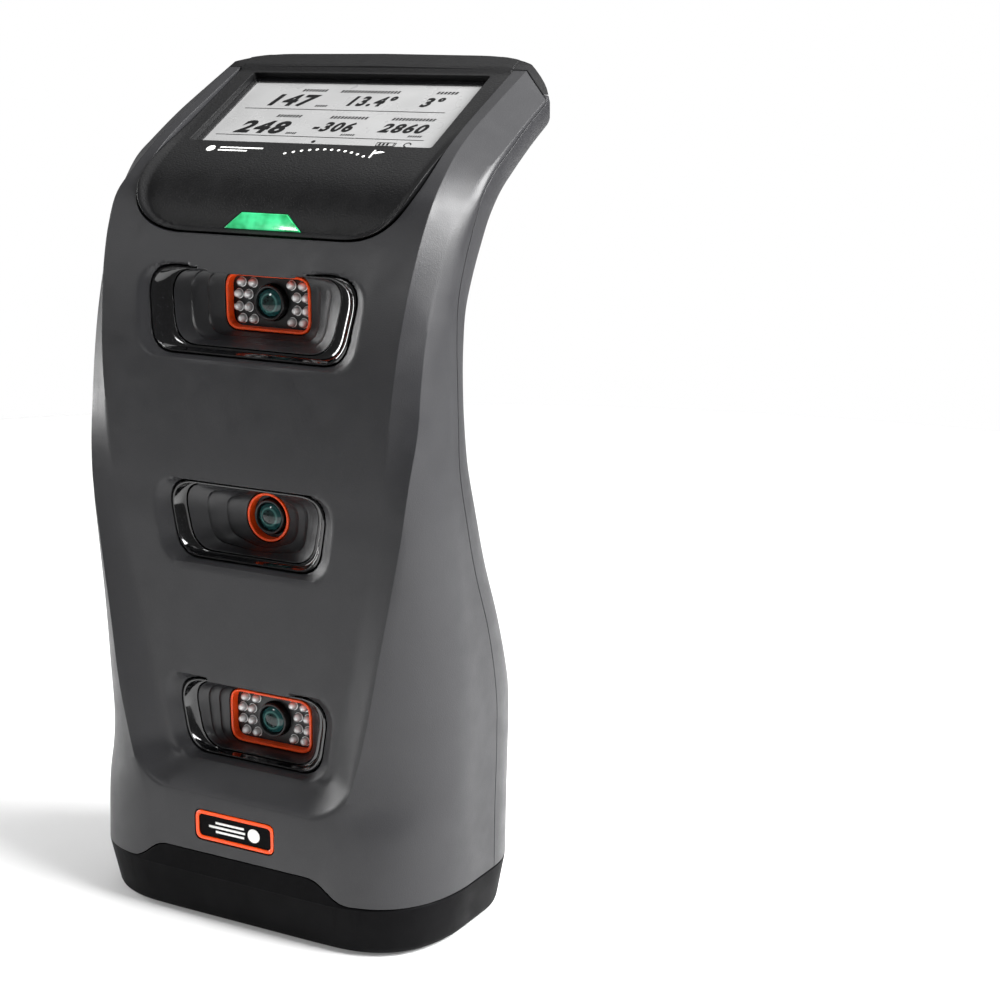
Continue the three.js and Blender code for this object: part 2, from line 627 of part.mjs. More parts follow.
function displayBox(half, low, high, back, front) {
  return onDisplay(box(-half, half, low, high, back, front));
}

// The housing's outer surface in side view, from its foot over the window to the raised end of the head.
function podProfile(depth) {
  const foot = new THREE.CubicBezierCurve(new THREE.Vector2(-4.6 + depth, POD_LOW - 6),
    new THREE.Vector2(-4.6 + depth, 263 - depth * 0.4), new THREE.Vector2(7 + depth, 270.6 - depth * 0.7),
    new THREE.Vector2(23.9 + depth * 0.2, 279.7 - depth));
  const top = [[66.2, 303.4], [71, 307.4], [74, 309], [76, 309.4]].map(([y, z]) => [y, z - depth]);
  return [...foot.getPoints(8).map((p) => [p.x, p.y]), ...top];
}

function displayHousing() {
  const band = prism('x', [...podProfile(0), ...podProfile(3).reverse()], -HEAD_HALF_WIDTH, HEAD_HALF_WIDTH);
  const pod = band.intersect(prism('y', podOutline(GAP), -60, 75.6)).intersect(headEnd(GAP));
  const cap = cut(SKIN, HOLLOW).intersect(capRegion(GAP / 2));
  const window = displayBox(WINDOW.half, -WINDOW.halfSlope, WINDOW.halfSlope, -12, 12);
  return cut(join(pod, cap), window, statusLensSeat());
}

const STATUS_LENS = { low: 251.6, high: 257.2, lowHalf: 16.2, highHalf: 9.6 };

function statusLensOutline(grow) {
  const s = STATUS_LENS;
  const wider = grow * 2.5;       // the sides slant, so they move out further for the same gap
  return [[-s.lowHalf - wider, s.low - grow], [s.lowHalf + wider, s.low - grow],
    [s.highHalf + wider, s.high + grow], [-s.highHalf - wider, s.high + grow]];
}

function statusLensSeat() {
  return prism('y', statusLensOutline(0.3), -20, 20);
}

function statusLens() {
  const band = prism('x', [...podProfile(0.2), ...podProfile(2.4).reverse()], -40, 40);
  return band.intersect(prism('y', statusLensOutline(0), -20, 20));
}

function statusLightBoard() {
  const board = box(-14, 14, 6.0, 7.6, 245, 259);
  const lamps = [-8, 0, 8].map((x) => box(x - 1.6, x + 1.6, 5, 6.2, 252.5, 255.5));
  return join(board, ...lamps);
}

// ---- Base ---------------------------------------------------------------------------------------------
function baseStation(z, inset) {
  const s = STATIONS[0];
  return {
    front: [s.front[0] + inset, z],
    edge: [s.edge[0], s.edge[1] + inset, z],
    ridge: [s.ridge[0] - inset * 0.3, s.ridge[1] + inset, z],
    corner: [s.corner[0] - inset, s.corner[1] + inset, z],
    side: [s.side[0] - inset, s.side[1], z],
    seam: [s.seam[0] - inset, s.seam[1], z],
    back: [s.back[0] - inset, z],
  };
}

function baseRings(levels) {
  return levels.map(([z, inset]) => mirrored(halfSection(baseStation(z, inset))));
}

const FEET = [[-52, 44], [52, 44], [-52, -8], [52, -8]];
const FOOT_RADIUS = 8;
const LEVELLER = { y: -14, wheelRadius: 10, wheelLow: 2.4, wheelHigh: 6.8, stemRadius: 2.6, padRadius: 6.5 };

function baseTray() {
  const bottom = GROUND_CLEARANCE;
  const body = loft(baseRings([[bottom, 4.4], [bottom + 2.4, 3.0], [BASE_TOP, 0]]));
  const pocket = loft(baseRings([[9.5, 5.5], [BASE_TOP + 1, 3.2]]));
  const humpBand = prism('y', humpOutline(0), -60, -10);
  const hump = cut(SKIN, HOLLOW).intersect(humpBand).intersect(box(-60, 60, -60, -20, BASE_TOP - 0.6, 40));
  const frontWall = cut(body, loft(baseRings([[8, WALL], [BASE_TOP + 1, WALL]])));
  const humpFoot = frontWall.intersect(box(-60, 60, -60, 0, 12, 30));
  const footSeats = FEET.map(([x, y]) => rod('z', FOOT_RADIUS + GAP, -1, 3.4, [x, y]));
  const l = LEVELLER;
  const wheelSeat = rod('z', l.wheelRadius + 0.8, -1, l.wheelHigh + 0.5, [0, l.y]);
  const boss = rod('z', l.stemRadius + 3, 7, 17, [0, l.y]);
  const stemHole = rod('z', l.stemRadius + GAP, 0, 30, [0, l.y]);
  return cut(join(cut(body, pocket), boss, hump, humpFoot), ...footSeats, wheelSeat, stemHole);
}

function rubberFoot(x, y) {
  const profile = [[0, 0], [FOOT_RADIUS - 0.8, 0], [FOOT_RADIUS, 0.8], [FOOT_RADIUS, 3], [0, 3]];
  const lathe = new THREE.LatheGeometry(profile.map((p) => new THREE.Vector2(...p)), 24);
  return solid(lathe.rotateX(Math.PI / 2)).translate(x, y, 0);
}

// The knurled wheel is a captive nut: turning it drives the stem and its pad straight down.
function levellingWheel() {
  const l = LEVELLER;
  const teeth = 24;
  const outline = [];
  for (let i = 0; i < teeth * 2; i += 1) {
    const radius = i % 2 ? l.wheelRadius : l.wheelRadius - 0.7;
    const angle = (i / (teeth * 2)) * 2 * Math.PI;
    outline.push([radius * Math.cos(angle), l.y + radius * Math.sin(angle)]);
  }
  const disc = prism('z', outline, l.wheelLow, l.wheelHigh);
  return cut(disc, rod('z', l.stemRadius + GAP, 0, 10, [0, l.y]));
}

function levellingStem() {
  const l = LEVELLER;
  return rod('z', l.stemRadius, 1.9, 15, [0, l.y]);
}

function levellingPad() {
  const l = LEVELLER;
  return rod('z', l.padRadius, 0, 1.6, [0, l.y]);
}

// ---- Insides ------------------------------------------------------------------------------------------
const BACKBONE_Y = 13.5;

function cameraBackbone() {
  const plate = box(-17, 17, BACKBONE_Y, BACKBONE_Y + 3, 52, 240);
  const windows = [111, 187].map((z) => box(-9, 9, BACKBONE_Y - 1, BACKBONE_Y + 4, z - 20, z + 20));
  const flange = box(-17, 17, BACKBONE_Y, BACKBONE_Y + 12, 49, 52);
  const posts = [];
  for (const camera of Object.values(CAMERAS)) {
    const front = camera.lensY + 10.4;
    for (const x of [-13.5, 13.5]) {
      posts.push(box(x - 1.2, x + 1.2, front, BACKBONE_Y + 0.5, camera.z - 11, camera.z + 11));
    }
  }
  return join(cut(join(plate, flange), ...windows), ...posts);
}

function mainBoard() {
  const front = BACKBONE_Y + 5;
  const board = box(-30, 30, front, front + 1.6, 92, 178);
  const processor = box(-9, 9, front + 1.5, front + 4.5, 128, 146);
  const memory = box(-9, 9, front + 1.5, front + 3, 152, 160);
  const connector = box(-14, 14, front + 1.5, front + 6, 96, 102);
  return join(board, processor, memory, connector);
}

const BATTERY = { half: 35, rear: 44, front: 24, low: 22, high: 44 };

function battery() {
  const b = BATTERY;
  const outline = rounded([[b.front, b.low, 6], [b.rear, b.low, 6],
    [b.rear, b.high, 6], [b.front, b.high, 6]], 3);
  return prism('x', outline, -b.half, b.half);
}

function batteryStrap() {
  const b = BATTERY;
  const outer = box(-8, 8, b.front - 2, b.rear + 2, b.low - 2, b.high + 2);
  return cut(outer, box(-9, 9, b.front - GAP, b.rear + GAP, b.low - GAP, b.high + GAP));
}

function wirelessAntenna() {
  return box(-56, -32, 43, 44.2, 100, 112);
}

function displayStack() {
  const parts = {};
  parts.lcd_panel = displayBox(50.6, -22.4, 22.4, -4.6, -2.8);
  parts.backlight = displayBox(50.6, -22.4, 22.4, -7.4, -4.6 - GAP);
  const frameOpening = displayBox(51, -22.8, 22.8, -7.4 - GAP, 0);
  parts.display_frame = cut(displayBox(56.2, -21.6, 24.4, -9.2, -4.2), frameOpening);
  const boardConnector = displayBox(12, -12, -4, -14, -11.5);
  parts.display_board = join(displayBox(44, -20, 12, -11.6, -10.0), boardConnector);
  return parts;
}

// ---- Back: ports, door and power button -----------------------------------------------------------------
const PORTS = [
  { name: 'dc_jack', x: -17, halfWidth: 5, low: -5, high: 5, hole: 'round' },
  { name: 'usb_c_port', x: 0, halfWidth: 4.6, low: -1.7, high: 1.7, hole: 'slot' },
  { name: 'ethernet_jack', x: 17, halfWidth: 8, low: -6.8, high: 6.8, hole: 'square' },
];
const PORT_Z = (PORT_BAY.low + PORT_BAY.high) / 2;
const DOOR_THICKNESS = 2.4;
const DOOR_PIN_RADIUS = 0.8;
const DOOR_KNUCKLE = 1.6;
const DOOR_AXIS = { y: PORT_BAY.face - DOOR_KNUCKLE - 0.12, z: PORT_BAY.low + GAP + DOOR_KNUCKLE };

function portBay() {
  const bay = PORT_BAY;
  const back = bay.face - bay.depth;
  const outline = (inset, radius, steps) => roundedRectangle(
    bay.half - inset, bay.low + inset, bay.high - inset, radius, steps);
  const outer = prism('y', outline(GAP, 1, 2), back, bay.face - 0.6);
  const inner = prism('y', outline(2, 2, 5), back + 2, bay.face + 5);
  const doorBack = bay.face - DOOR_THICKNESS - 1.1;
  const doorSeat = box(-bay.half, bay.half, doorBack, bay.face + 5, bay.low - 1, bay.high + 1);
  const openings = PORTS.map((port) => box(port.x - port.halfWidth - 0.3, port.x + port.halfWidth + 0.3,
    back - 1, back + 4, PORT_Z + port.low - 0.3, PORT_Z + port.high + 0.3));
  return cut(outer, inner, doorSeat, ...openings);
}

function port({ x, halfWidth, low, high, hole }) {
  const back = PORT_BAY.face - PORT_BAY.depth - 10;
  const face = PORT_BAY.face - PORT_BAY.depth + 2.6;
  const body = box(x - halfWidth, x + halfWidth, back, face, PORT_Z + low, PORT_Z + high);
  if (hole === 'round') {
    const pin = rod('y', 0.9, face - 9, face - 1, [x, PORT_Z], 12);
    return join(cut(body, rod('y', 3, face - 8, face + 1, [x, PORT_Z], 16)), pin);
  }
  const rim = hole === 'slot' ? 0.5 : 1.2;
  const half = halfWidth - rim;
  const socket = box(x - half, x + half, face - 8, face + 1, PORT_Z + low + rim, PORT_Z + high - rim);
  return cut(body, socket);
}

function portDoor() {
  const bay = PORT_BAY;
  const half = bay.half - GAP;
  const plate = prism('y', rounded([[-half, DOOR_AXIS.z - 0.35, 0.6], [half, DOOR_AXIS.z - 0.35, 0.6],
    [half, bay.high - GAP, 1.2], [-half, bay.high - GAP, 1.2]], 2), bay.face - DOOR_THICKNESS, bay.face);
  const knuckle = rod('x', DOOR_KNUCKLE, -half, half, [DOOR_AXIS.y, DOOR_AXIS.z], 16);
  const fingerNotch = rod('z', 7, bay.high - 2.6, bay.high + 2, [0, bay.face + 5.4], 24);
  const pinHole = rod('x', DOOR_PIN_RADIUS + 0.3, -half - 1, half + 1, [DOOR_AXIS.y, DOOR_AXIS.z], 10);
  return cut(join(plate, knuckle), fingerNotch, pinHole);
}

function doorPin() {
  const half = PORT_BAY.half - GAP;
  return rod('x', DOOR_PIN_RADIUS, -half, half, [DOOR_AXIS.y, DOOR_AXIS.z], 12);
}

function powerButton() {
  const face = REAR_Y;
  const cap = rod('y', BUTTON.radius, face - WALL - 1.6, face, [0, BUTTON.z], 28, BUTTON.radius - 0.4);
  const flange = rod('y', BUTTON.radius + 1.6, face - WALL - 2.4, face - WALL - 0.9, [0, BUTTON.z], 28);
  const stem = rod('y', 2, face - WALL - 4.6, face - WALL - 1.2, [0, BUTTON.z], 16);
  return join(cap, flange, stem);
}

function powerSwitch() {
  const front = REAR_Y - WALL - 4.6 - BUTTON.travel - GAP;
  const body = box(-3, 3, front - 3, front, BUTTON.z - 3, BUTTON.z + 3);
  return join(body, box(-9, 9, front - 4.5, front - 2.9, BUTTON.z - 6, BUTTON.z + 6));
}

// Each screw sits in the rear shell's wall, its head outside in line with the curve of the back.
function backDepthAt(x, z) {
  const rings = skinRings(STATIONS, 4);
  let depth = 0;
  let nearest = Infinity;
  for (const p of rings.flat()) {
    const distance = Math.hypot(p.x - x, p.z - z);
    if (p.y > 10 && distance < nearest) {
      nearest = distance;
      depth = p.y;
    }
  }
  return depth;
}

function shellScrew(x, z) {
  const surface = backDepthAt(x, z);
  const head = rod('y', 3.2, surface - 1.3, surface + 0.4, [x, z], 16, 2.8);
  const shank = rod('y', 1.4, surface - 8, surface - 1, [x, z], 10);
  const slot = rod('y', 1.3, surface - 0.6, surface + 2, [x, z], 6);
  return cut(join(head, shank), slot);
}

// ---- Badge ----------------------------------------------------------------------------------------------
function badgeFrame() {
  const outer = prism('y', badgeOutline(0, BADGE.radius), BADGE.face, BADGE.face + 1.8);
  const inner = prism('y', badgeOutline(BADGE.rim, BADGE.radius - 1), BADGE.face - 1, BADGE.face + 3);
  return cut(outer, inner);
}

function badgePlate() {
  return prism('y', badgeOutline(BADGE.rim + 0.3, BADGE.radius - 1.2), BADGE.face + 0.6, BADGE.face + 1.8);
}

// ---- The assembly ---------------------------------------------------------------------------------------
place('front_shell', frontShell(), GREY_SHELL);
place('rear_shell', rearShell(), GREY_SHELL);
place('base_tray', baseTray(), BLACK_PLASTIC);
place('display_housing', displayHousing(), BLACK_PLASTIC);
const displayMaterials = {
  lcd_panel: LCD_GREY, backlight: LIGHT_GUIDE, display_frame: STEEL, display_board: CIRCUIT_BOARD,
};
Object.entries(displayStack()).forEach(([name, shape]) => place(name, shape, displayMaterials[name]));
place('status_lens', statusLens(), CLEAR_GREEN);
place('status_light_board', statusLightBoard(), CIRCUIT_BOARD);

for (const [name, camera] of Object.entries(CAMERAS)) {
  place(`${name}_window_frame`, windowFrame(camera), GLOSS_BLACK);
  place(`${name}_cone_bezel`, coneBezel(camera), CONE_BLACK);
  place(`${name}_trim`, trim(camera), ORANGE);
  if (camera.lamps) place(`${name}_led_board`, ledBoard(camera), CIRCUIT_BOARD);
  else place(`${name}_lens_collar`, lensCollar(camera), CONE_BLACK);
  place(`${name}_lens_barrel`, lensBarrel(camera), BLACK_METAL);
  place(`${name}_lens_glass`, lensGlass(camera), LENS_GLASS);
  place(`${name}_sensor_board`, sensorBoard(camera), CIRCUIT_BOARD);
}

place('camera_backbone', cameraBackbone(), ALUMINIUM);
place('main_board', mainBoard(), CIRCUIT_BOARD);
place('battery', battery(), BATTERY_WRAP);
place('battery_strap', batteryStrap(), STEEL);
place('wireless_antenna', wirelessAntenna(), CIRCUIT_BOARD);

place('port_bay', portBay(), BLACK_PLASTIC);
PORTS.forEach((item) => place(item.name, port(item), STEEL));
place('port_door', portDoor(), RUBBER);
place('door_pin', doorPin(), STEEL);
place('power_button', powerButton(), BLACK_PLASTIC);
place('power_switch', powerSwitch(), CIRCUIT_BOARD);
SHELL_SCREWS.forEach(([x, z], i) => place(`shell_screw_${i + 1}`, shellScrew(x, z), BLACK_METAL));

FEET.forEach(([x, y], i) => place(`rubber_foot_${i + 1}`, rubberFoot(x, y), RUBBER));
place('levelling_wheel', levellingWheel(), BLACK_PLASTIC);
place('levelling_stem', levellingStem(), STEEL);
place('levelling_pad', levellingPad(), RUBBER);

place('badge_frame', badgeFrame(), ORANGE);
place('badge_plate', badgePlate(), BLACK_PLASTIC);

export default group;
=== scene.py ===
"""Looks of the golf launch monitor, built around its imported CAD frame.

Sizes are millimetres, with depths measured from the front of the top camera as in the CAD source. Each
piece is moved into the frame, in metres, when its mesh is made. The cameras look along -Y.
"""
import math

import bmesh
import bpy
import numpy as np
from mathutils import Matrix, Vector


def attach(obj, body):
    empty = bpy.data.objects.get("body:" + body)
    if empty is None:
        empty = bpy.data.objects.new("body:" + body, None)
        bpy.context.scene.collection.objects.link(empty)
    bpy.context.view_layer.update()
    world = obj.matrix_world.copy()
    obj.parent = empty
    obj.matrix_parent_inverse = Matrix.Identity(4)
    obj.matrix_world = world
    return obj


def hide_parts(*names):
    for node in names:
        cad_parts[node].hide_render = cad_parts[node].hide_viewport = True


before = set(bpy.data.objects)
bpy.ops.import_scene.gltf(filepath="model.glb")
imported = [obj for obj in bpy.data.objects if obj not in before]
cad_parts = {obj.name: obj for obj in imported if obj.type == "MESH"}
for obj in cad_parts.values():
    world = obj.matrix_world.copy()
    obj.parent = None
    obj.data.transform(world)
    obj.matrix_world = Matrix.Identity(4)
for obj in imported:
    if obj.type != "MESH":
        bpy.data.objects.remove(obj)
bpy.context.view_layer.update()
scene = bpy.context.scene

# ---- Driving dimensions ----
MM = 0.001
FRONT_Y = -31.2
REAR_Y = 76.8
DEPTH_CENTRE = (FRONT_Y + REAR_Y) / 2
HEAD_HALF_WIDTH = 76
WALL = 2.6
GAP = 0.4
GROUND_CLEARANCE = 1.2
BASE_TOP = 19.8
SHELL_BOTTOM = BASE_TOP + GAP
TROUGH_FLOOR_Y = -20.8
TROUGH_TOP_Z = 160
# The right corners (x, z, radius) of the crease round the trough's floor, and how steeply its walls rise.
TROUGH_CREASE = [(36.5, 60.5, 7), (57.0, TROUGH_TOP_Z, 1)]
TROUGH_STEEPNESS = ([50, 62, 155], [0.93, 0.65, 0.01])
HUMP = dict(half=33.8, top=27.7, slant=10.5, run_out=9, radius=4)
HEAD_END_LEVELS = [(-5, 21), (294, 21), (298, 24), (302, 28), (306, 32), (310, 36), (330, 36)]
DISPLAY_TILT = math.radians(29.3)
# Places clear of the body, where cutting shapes end.
AHEAD, BEHIND, ASIDE, ABOVE, BELOW = -60, 90, 90, 330, -10

# The places where the body's long lines cross each station, from the bottom up and over the head:
# front (y, z); edge, ridge, corner control, side and seam (x, y, z); back (y, z).
STATIONS = [
    ((-31.2, 19), (30, -31.2, 19), (41.3, -31.0, 19),
     (73.8, -30.0, 19), (75.5, 6, 19), (75.5, 25.2, 19), (62.5, 19)),
    ((-30.8, 44), (30, -30.8, 44), (40.5, -30.4, 44),
     (74.6, -26.5, 44), (75.5, 7, 44), (75.5, 25.9, 44), (63.5, 44)),
    ((-29.2, 58), (35, -29.2, 58), (46.5, -28.4, 58),
     (75.3, -17.5, 58), (75.5, 8, 58), (75.5, 26.8, 58), (64.2, 58)),
    ((-27.3, 70), (38, -27.3, 70), (50.5, -27.0, 70),
     (75.5, -14.0, 70), (75.5, 9, 70), (75.5, 27.3, 70), (64.8, 70)),
    ((-26.4, 85), (41.3, -26.4, 85), (54.0, -26.2, 85),
     (75.5, -12.8, 85), (75.5, 9, 85), (75.5, 27.2, 85), (64.3, 85)),
    ((-24.5, 110), (46.5, -24.5, 110), (58.3, -24.4, 110),
     (75.2, -12.4, 110), (75.2, 8, 110), (75.2, 22.3, 110), (55.5, 110)),
    ((-22.7, 135), (51.8, -22.7, 135), (62.8, -22.7, 135),
     (74.5, -12.5, 135), (74.5, 5, 135), (74.5, 13.7, 135), (45.5, 135)),
    ((-20.7, 155), (56.0, -20.7, 155), (66.2, -21.1, 155),
     (74.0, -12.0, 155), (74.0, 2, 155), (74.0, 8.6, 155), (39.0, 155)),
    ((-20.4, 172), (58.5, -20.2, 172), (68.1, -18.9, 172),
     (73.2, -10.0, 172), (73.2, 0, 172), (73.2, 5.8, 172), (34.0, 171)),
    ((-19.8, 190), (60.4, -19.2, 190), (69.5, -15.3, 189),
     (72.5, -7.0, 188), (72.6, 1, 188), (72.5, 6.2, 187.5), (30.0, 186)),
    ((-18.8, 206), (61.9, -17.9, 205.8), (69.6, -13.0, 204.5),
     (72.4, -6.0, 203.5), (72.5, 0.8, 202.6), (72.4, 5.9, 201.6), (28.6, 198)),
    ((-16.6, 221), (63.1, -15.6, 220.5), (69.8, -9.9, 219.4),
     (72.8, -3.5, 218.2), (72.8, 1.2, 217.3), (72.8, 4.9, 216.4), (29.6, 209)),
    ((-12.6, 237), (64.6, -11.8, 236.5), (70.5, -4.9, 234.8),
     (73.2, -0.5, 232.8), (73.3, 2.8, 231.8), (73.3, 5.2, 231.0), (32.0, 219)),
    ((-7.5, 251), (65.8, -6.8, 250.4), (71.6, 0.8, 249.0),
     (74.0, 4.2, 247.0), (74.1, 6.9, 245.8), (74.1, 9.0, 244.8), (36.0, 229)),
    ((-1.5, 262), (66.4, -0.8, 261.4), (72.9, 7.2, 258.8),
     (74.9, 9.8, 257.2), (75.0, 11.7, 256.2), (75.0, 13.0, 255.4), (41.0, 239)),
    ((6.5, 269.8), (65.6, 7.0, 269.0), (74.0, 13.6, 265.4),
     (75.6, 15.2, 264.6), (75.6, 16.2, 264.2), (75.6, 17.0, 263.9), (46.6, 248)),
    ((18.5, 279), (64.6, 18.9, 278.3), (75.2, 22.4, 273.2),
     (75.9, 23.2, 272.8), (76.0, 23.8, 272.4), (76.0, 24.6, 271.9), (53.2, 256.4)),
    ((30, 285.9), (64.3, 30.4, 285.4), (75.8, 33.4, 279.6),
     (76.0, 34.0, 279.2), (76.0, 34.4, 278.9), (76.0, 35.1, 278.5), (61.0, 262.8)),
    ((46, 294.2), (64.5, 46.2, 293.7), (75.9, 49.2, 288.5),
     (76.0, 49.6, 288.2), (76.0, 49.9, 288.0), (76.0, 50.5, 287.7), (71.0, 269.5)),
    ((63.3, 303.1), (65.0, 63.4, 302.6), (75.9, 66.0, 296.9),
     (76.0, 66.3, 296.6), (76.0, 66.6, 296.4), (76.0, 67.2, 296.1), (82.0, 276.5)),
    ((80, 311.7), (65.4, 80.1, 311.2), (75.9, 82.6, 305.5),
     (76.0, 82.9, 305.2), (76.0, 83.2, 305.0), (76.0, 83.8, 304.7), (95.0, 284.5)),
]
REAR_FLAT = 0.44
SEAM_END = [[61.5, 293.4], [68.0, 305.2], [71.4, 311.6], [80, 327]]

CAMERAS = {
    "top": dict(z=225.9, lens_y=0.0, face_y=-15.6, lean=0.17, lamps=True, lip=(19, 27, 10.9),
                recess=(51.0, -19.2, 13.4), frame=(45.3, -17.6, 12.4), cone=(37.6, -15.2, 11.4)),
    "middle": dict(z=149.5, lens_y=-3.4, face_y=-20.8, lean=0.0, lamps=False, lip=(15, 24, 13.5),
                   recess=(40.2, -16.2, 14.2), frame=(34.7, -14.6, 13.6), cone=(30.4, -12.6, 12.3)),
    "bottom": dict(z=73.3, lens_y=-5.2, face_y=-20.8, lean=0.0, lamps=True, lip=(18, 25, 16.2),
                   recess=(38.4, -13.3, 18.0), frame=(33.4, -12.4, 16.0), cone=(28.9, -11.4, 14.5)),
}
BEZEL_TAPER = 5
BEZEL_RADII = (9, 12)
RECESS_REACH = (58, 26)
FRAME_DEPTH = 3.4
FRAME_SLOPE = 2.6
CONE_STEPS = 3
LIP_DEPTH = 2.5
COLLAR_DEPTH = 7
CUT_START, CUT_END = -12, 26
TRIM_HALF = 18
TRIM_HALF_HEIGHT = 10.1
TRIM_CORNER = 5.5
TRIM_WALL = 1.0
RING_RADIUS = 9
BARREL_RADIUS = 6.3
LAMP_PLATE = dict(half=17.6, half_height=10.4, thick=1.6)
LED_RADIUS = 1.55
LED_ROWS = [(6.49, 13.08), (6.49, 8.18), (2.27, 14.47), (2.27, 10.24)]

POD_HALF = 59.8
POD_LOW = 249.4
POD_GAP = 0.8
POD_WALL = 3.0
# The housing's face in side view, as (y, z): the curve of its foot, and the rise over its top end.
POD_FOOT = [(-4.6, POD_LOW - 6), (-4.6, 263.0), (7.0, 270.6), (23.9, 279.7)]
POD_FOOT_POINTS = 60
POD_TOP = [(66.2, 303.4), (68.0, 305.0), (69.6, 306.3), (72, 307.5), (75, 309.05), (77, 310.05)]
POD_END = 75.6
RIM_HEIGHT = 1.9
RIM_CORNER = (55.0, POD_LOW + RIM_HEIGHT, 23)
RIM_FADE = (264, 286)
CAP_BOTTOM = 296.4
WINDOW = dict(y=44.6, z=291.3, half=51.9, half_slope=23.75)
LCD_HALF = 49.4
LCD_HALF_SLOPE = 21.0
LCD_DEPTH = -2.8
PRINT_LIFT = 0.06
FLIGHT = dict(dots=12, start=-5, length=33, low=6.8, height=3.4, radius=0.62)
STATUS_LENS = dict(low=251.6, high=257.2, low_half=16.2, high_half=9.6)
BADGE = dict(half=17.2, low=33.2, high=44.2, radius=3, face=-31.1, rim=1.3)
PORT_BAY = dict(half=31, low=48, high=74)
BUTTON = dict(z=283, radius=6)
SHELL_SCREWS = [(-46, 34), (46, 34), (-46, 92), (46, 92), (-40, 200), (40, 200)]
SCREW = dict(shank=1.9, head=3.7, sunk=1.6)
FEET = [(-52, 44), (52, 44), (-52, -8), (52, -8)]
FOOT_RADIUS = 8
LEVELLER = dict(y=-14, wheel_radius=10, wheel_high=6.8, stem_radius=2.6)


# ---- Meshes ----
def mesh_object(name, points, faces, origin=(0, 0, 0)):
    """A piece from points about an origin, all in millimetres, with its faces turned outward."""
    mesh = bpy.data.meshes.new(name)
    mesh.from_pydata((np.asarray(points, float) * MM).tolist(), [], faces)
    shape = bmesh.new()
    shape.from_mesh(mesh)
    bmesh.ops.remove_doubles(shape, verts=shape.verts, dist=1e-6)
    bmesh.ops.recalc_face_normals(shape, faces=shape.faces)
    shape.to_mesh(mesh)
    shape.free()
    obj = bpy.data.objects.new(name, mesh)
    scene.collection.objects.link(obj)
    obj.location = (Vector(origin) - Vector((0, DEPTH_CENTRE, 0))) * MM
    return obj


def loft(name, rings, origin=(0, 0, 0), closed=False):
    """A solid through rings of equally many points: capped at both ends, or closed on itself."""
    rings = np.asarray(rings, float)
    count, around = rings.shape[:2]
    faces = []
    for i in range(count if closed else count - 1):
        this, following = i * around, (i + 1) % count * around
        for j in range(around):
            k = (j + 1) % around
            faces.append((this + j, this + k, following + k, following + j))
    if not closed:
        faces.append(tuple(range(around))[::-1])
        faces.append(tuple(range((count - 1) * around, count * around)))
    return mesh_object(name, rings.reshape(-1, 3), faces, origin)


def level_ring(outline, y, z=0.0):
    """An outline of (x, z) points raised by `z`, all at one depth."""
    return np.stack([outline[:, 0], np.full(len(outline), y), z + outline[:, 1]], axis=-1)


def prism(name, axis, outline, low, high):
    """An outline of (y, z), (x, z) or (x, y) points pushed along the remaining axis."""
    first, second = np.asarray(outline, float).T
    rings = []
    for level in (low, high):
        third = np.full(len(first), float(level))
        columns = {"x": (third, first, second), "y": (first, third, second), "z": (first, second, third)}
        rings.append(np.stack(columns[axis], axis=-1))
    return loft(name, rings)


def rectangle(left, right, low, high):
    return [(left, low), (right, low), (right, high), (left, high)]


def box(name, x, y, z):
    """A box from its (low, high) limits along each axis."""
    return prism(name, "z", rectangle(*x, *y), *z)


def everything_below(level):
    return box("below", (-ASIDE, ASIDE), (AHEAD, BEHIND), (BELOW, level))


def circle(radius, centre=(0, 0), count=64):
    angles = np.linspace(0, 2 * math.pi, count, endpoint=False)
    return np.stack([centre[0] + radius * np.cos(angles), centre[1] + radius * np.sin(angles)], axis=-1)


def lathe(name, profile, origin, segments=64):
    """A solid of revolution about Y from (radius, y) points that start and end on the axis."""
    angles = np.linspace(0, 2 * math.pi, segments, endpoint=False)
    rings = [[(radius * math.cos(t), y, radius * math.sin(t)) for t in angles] for radius, y in profile]
    return loft(name, rings, origin)


def bake(obj):
    """Makes the result of an object's modifiers its own mesh."""
    graph = bpy.context.evaluated_depsgraph_get()
    mesh = bpy.data.meshes.new_from_object(obj.evaluated_get(graph))
    obj.modifiers.clear()
    obj.data = mesh


def combine(obj, tool, operation="DIFFERENCE"):
    """A boolean operation with a tool that isn't kept."""
    modifier = obj.modifiers.new("combine", "BOOLEAN")
    modifier.operation = operation
    modifier.solver = "MANIFOLD"
    modifier.object = tool
    bake(obj)
    bpy.data.objects.remove(tool)
    return obj


def bevel_edges(obj, width, angle):
    """Rounds the edges that turn by more than an angle in degrees."""
    modifier = obj.modifiers.new("bevel", "BEVEL")
    modifier.width = width * MM
    modifier.segments = 3
    modifier.limit_method = "ANGLE"
    modifier.angle_limit = math.radians(angle)
    modifier.harden_normals = False
    bake(obj)


def stands_for(obj, material, slot, *nodes, angle=32):
    """Gives a piece its smooth shading, sharp edges and one material, and its place in the frame."""
    obj.data.shade_smooth()
    obj.data.set_sharp_from_angle(angle=math.radians(angle))
    obj.data.materials.clear()
    obj.data.materials.append(material)
    obj.data.polygons.foreach_set("material_index", np.zeros(len(obj.data.polygons), np.int32))
    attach(obj, "housing")
    if nodes:
        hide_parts(*nodes)


# ---- Outlines and curves ----
def rounded(corners, steps=12):
    """A closed outline of [a, b, radius] corners, each turned by a quadratic curve."""
    points = []
    for i, (a, b, radius) in enumerate(corners):
        corner = np.array([a, b], float)
        before = np.array(corners[i - 1][:2]) - corner
        after = np.array(corners[(i + 1) % len(corners)][:2]) - corner
        start = corner + before / np.linalg.norm(before) * radius
        end = corner + after / np.linalg.norm(after) * radius
        for t in np.linspace(0, 1, steps + 1):
            points.append(start * (1 - t) ** 2 + corner * 2 * t * (1 - t) + end * t ** 2)
    return np.array(points)


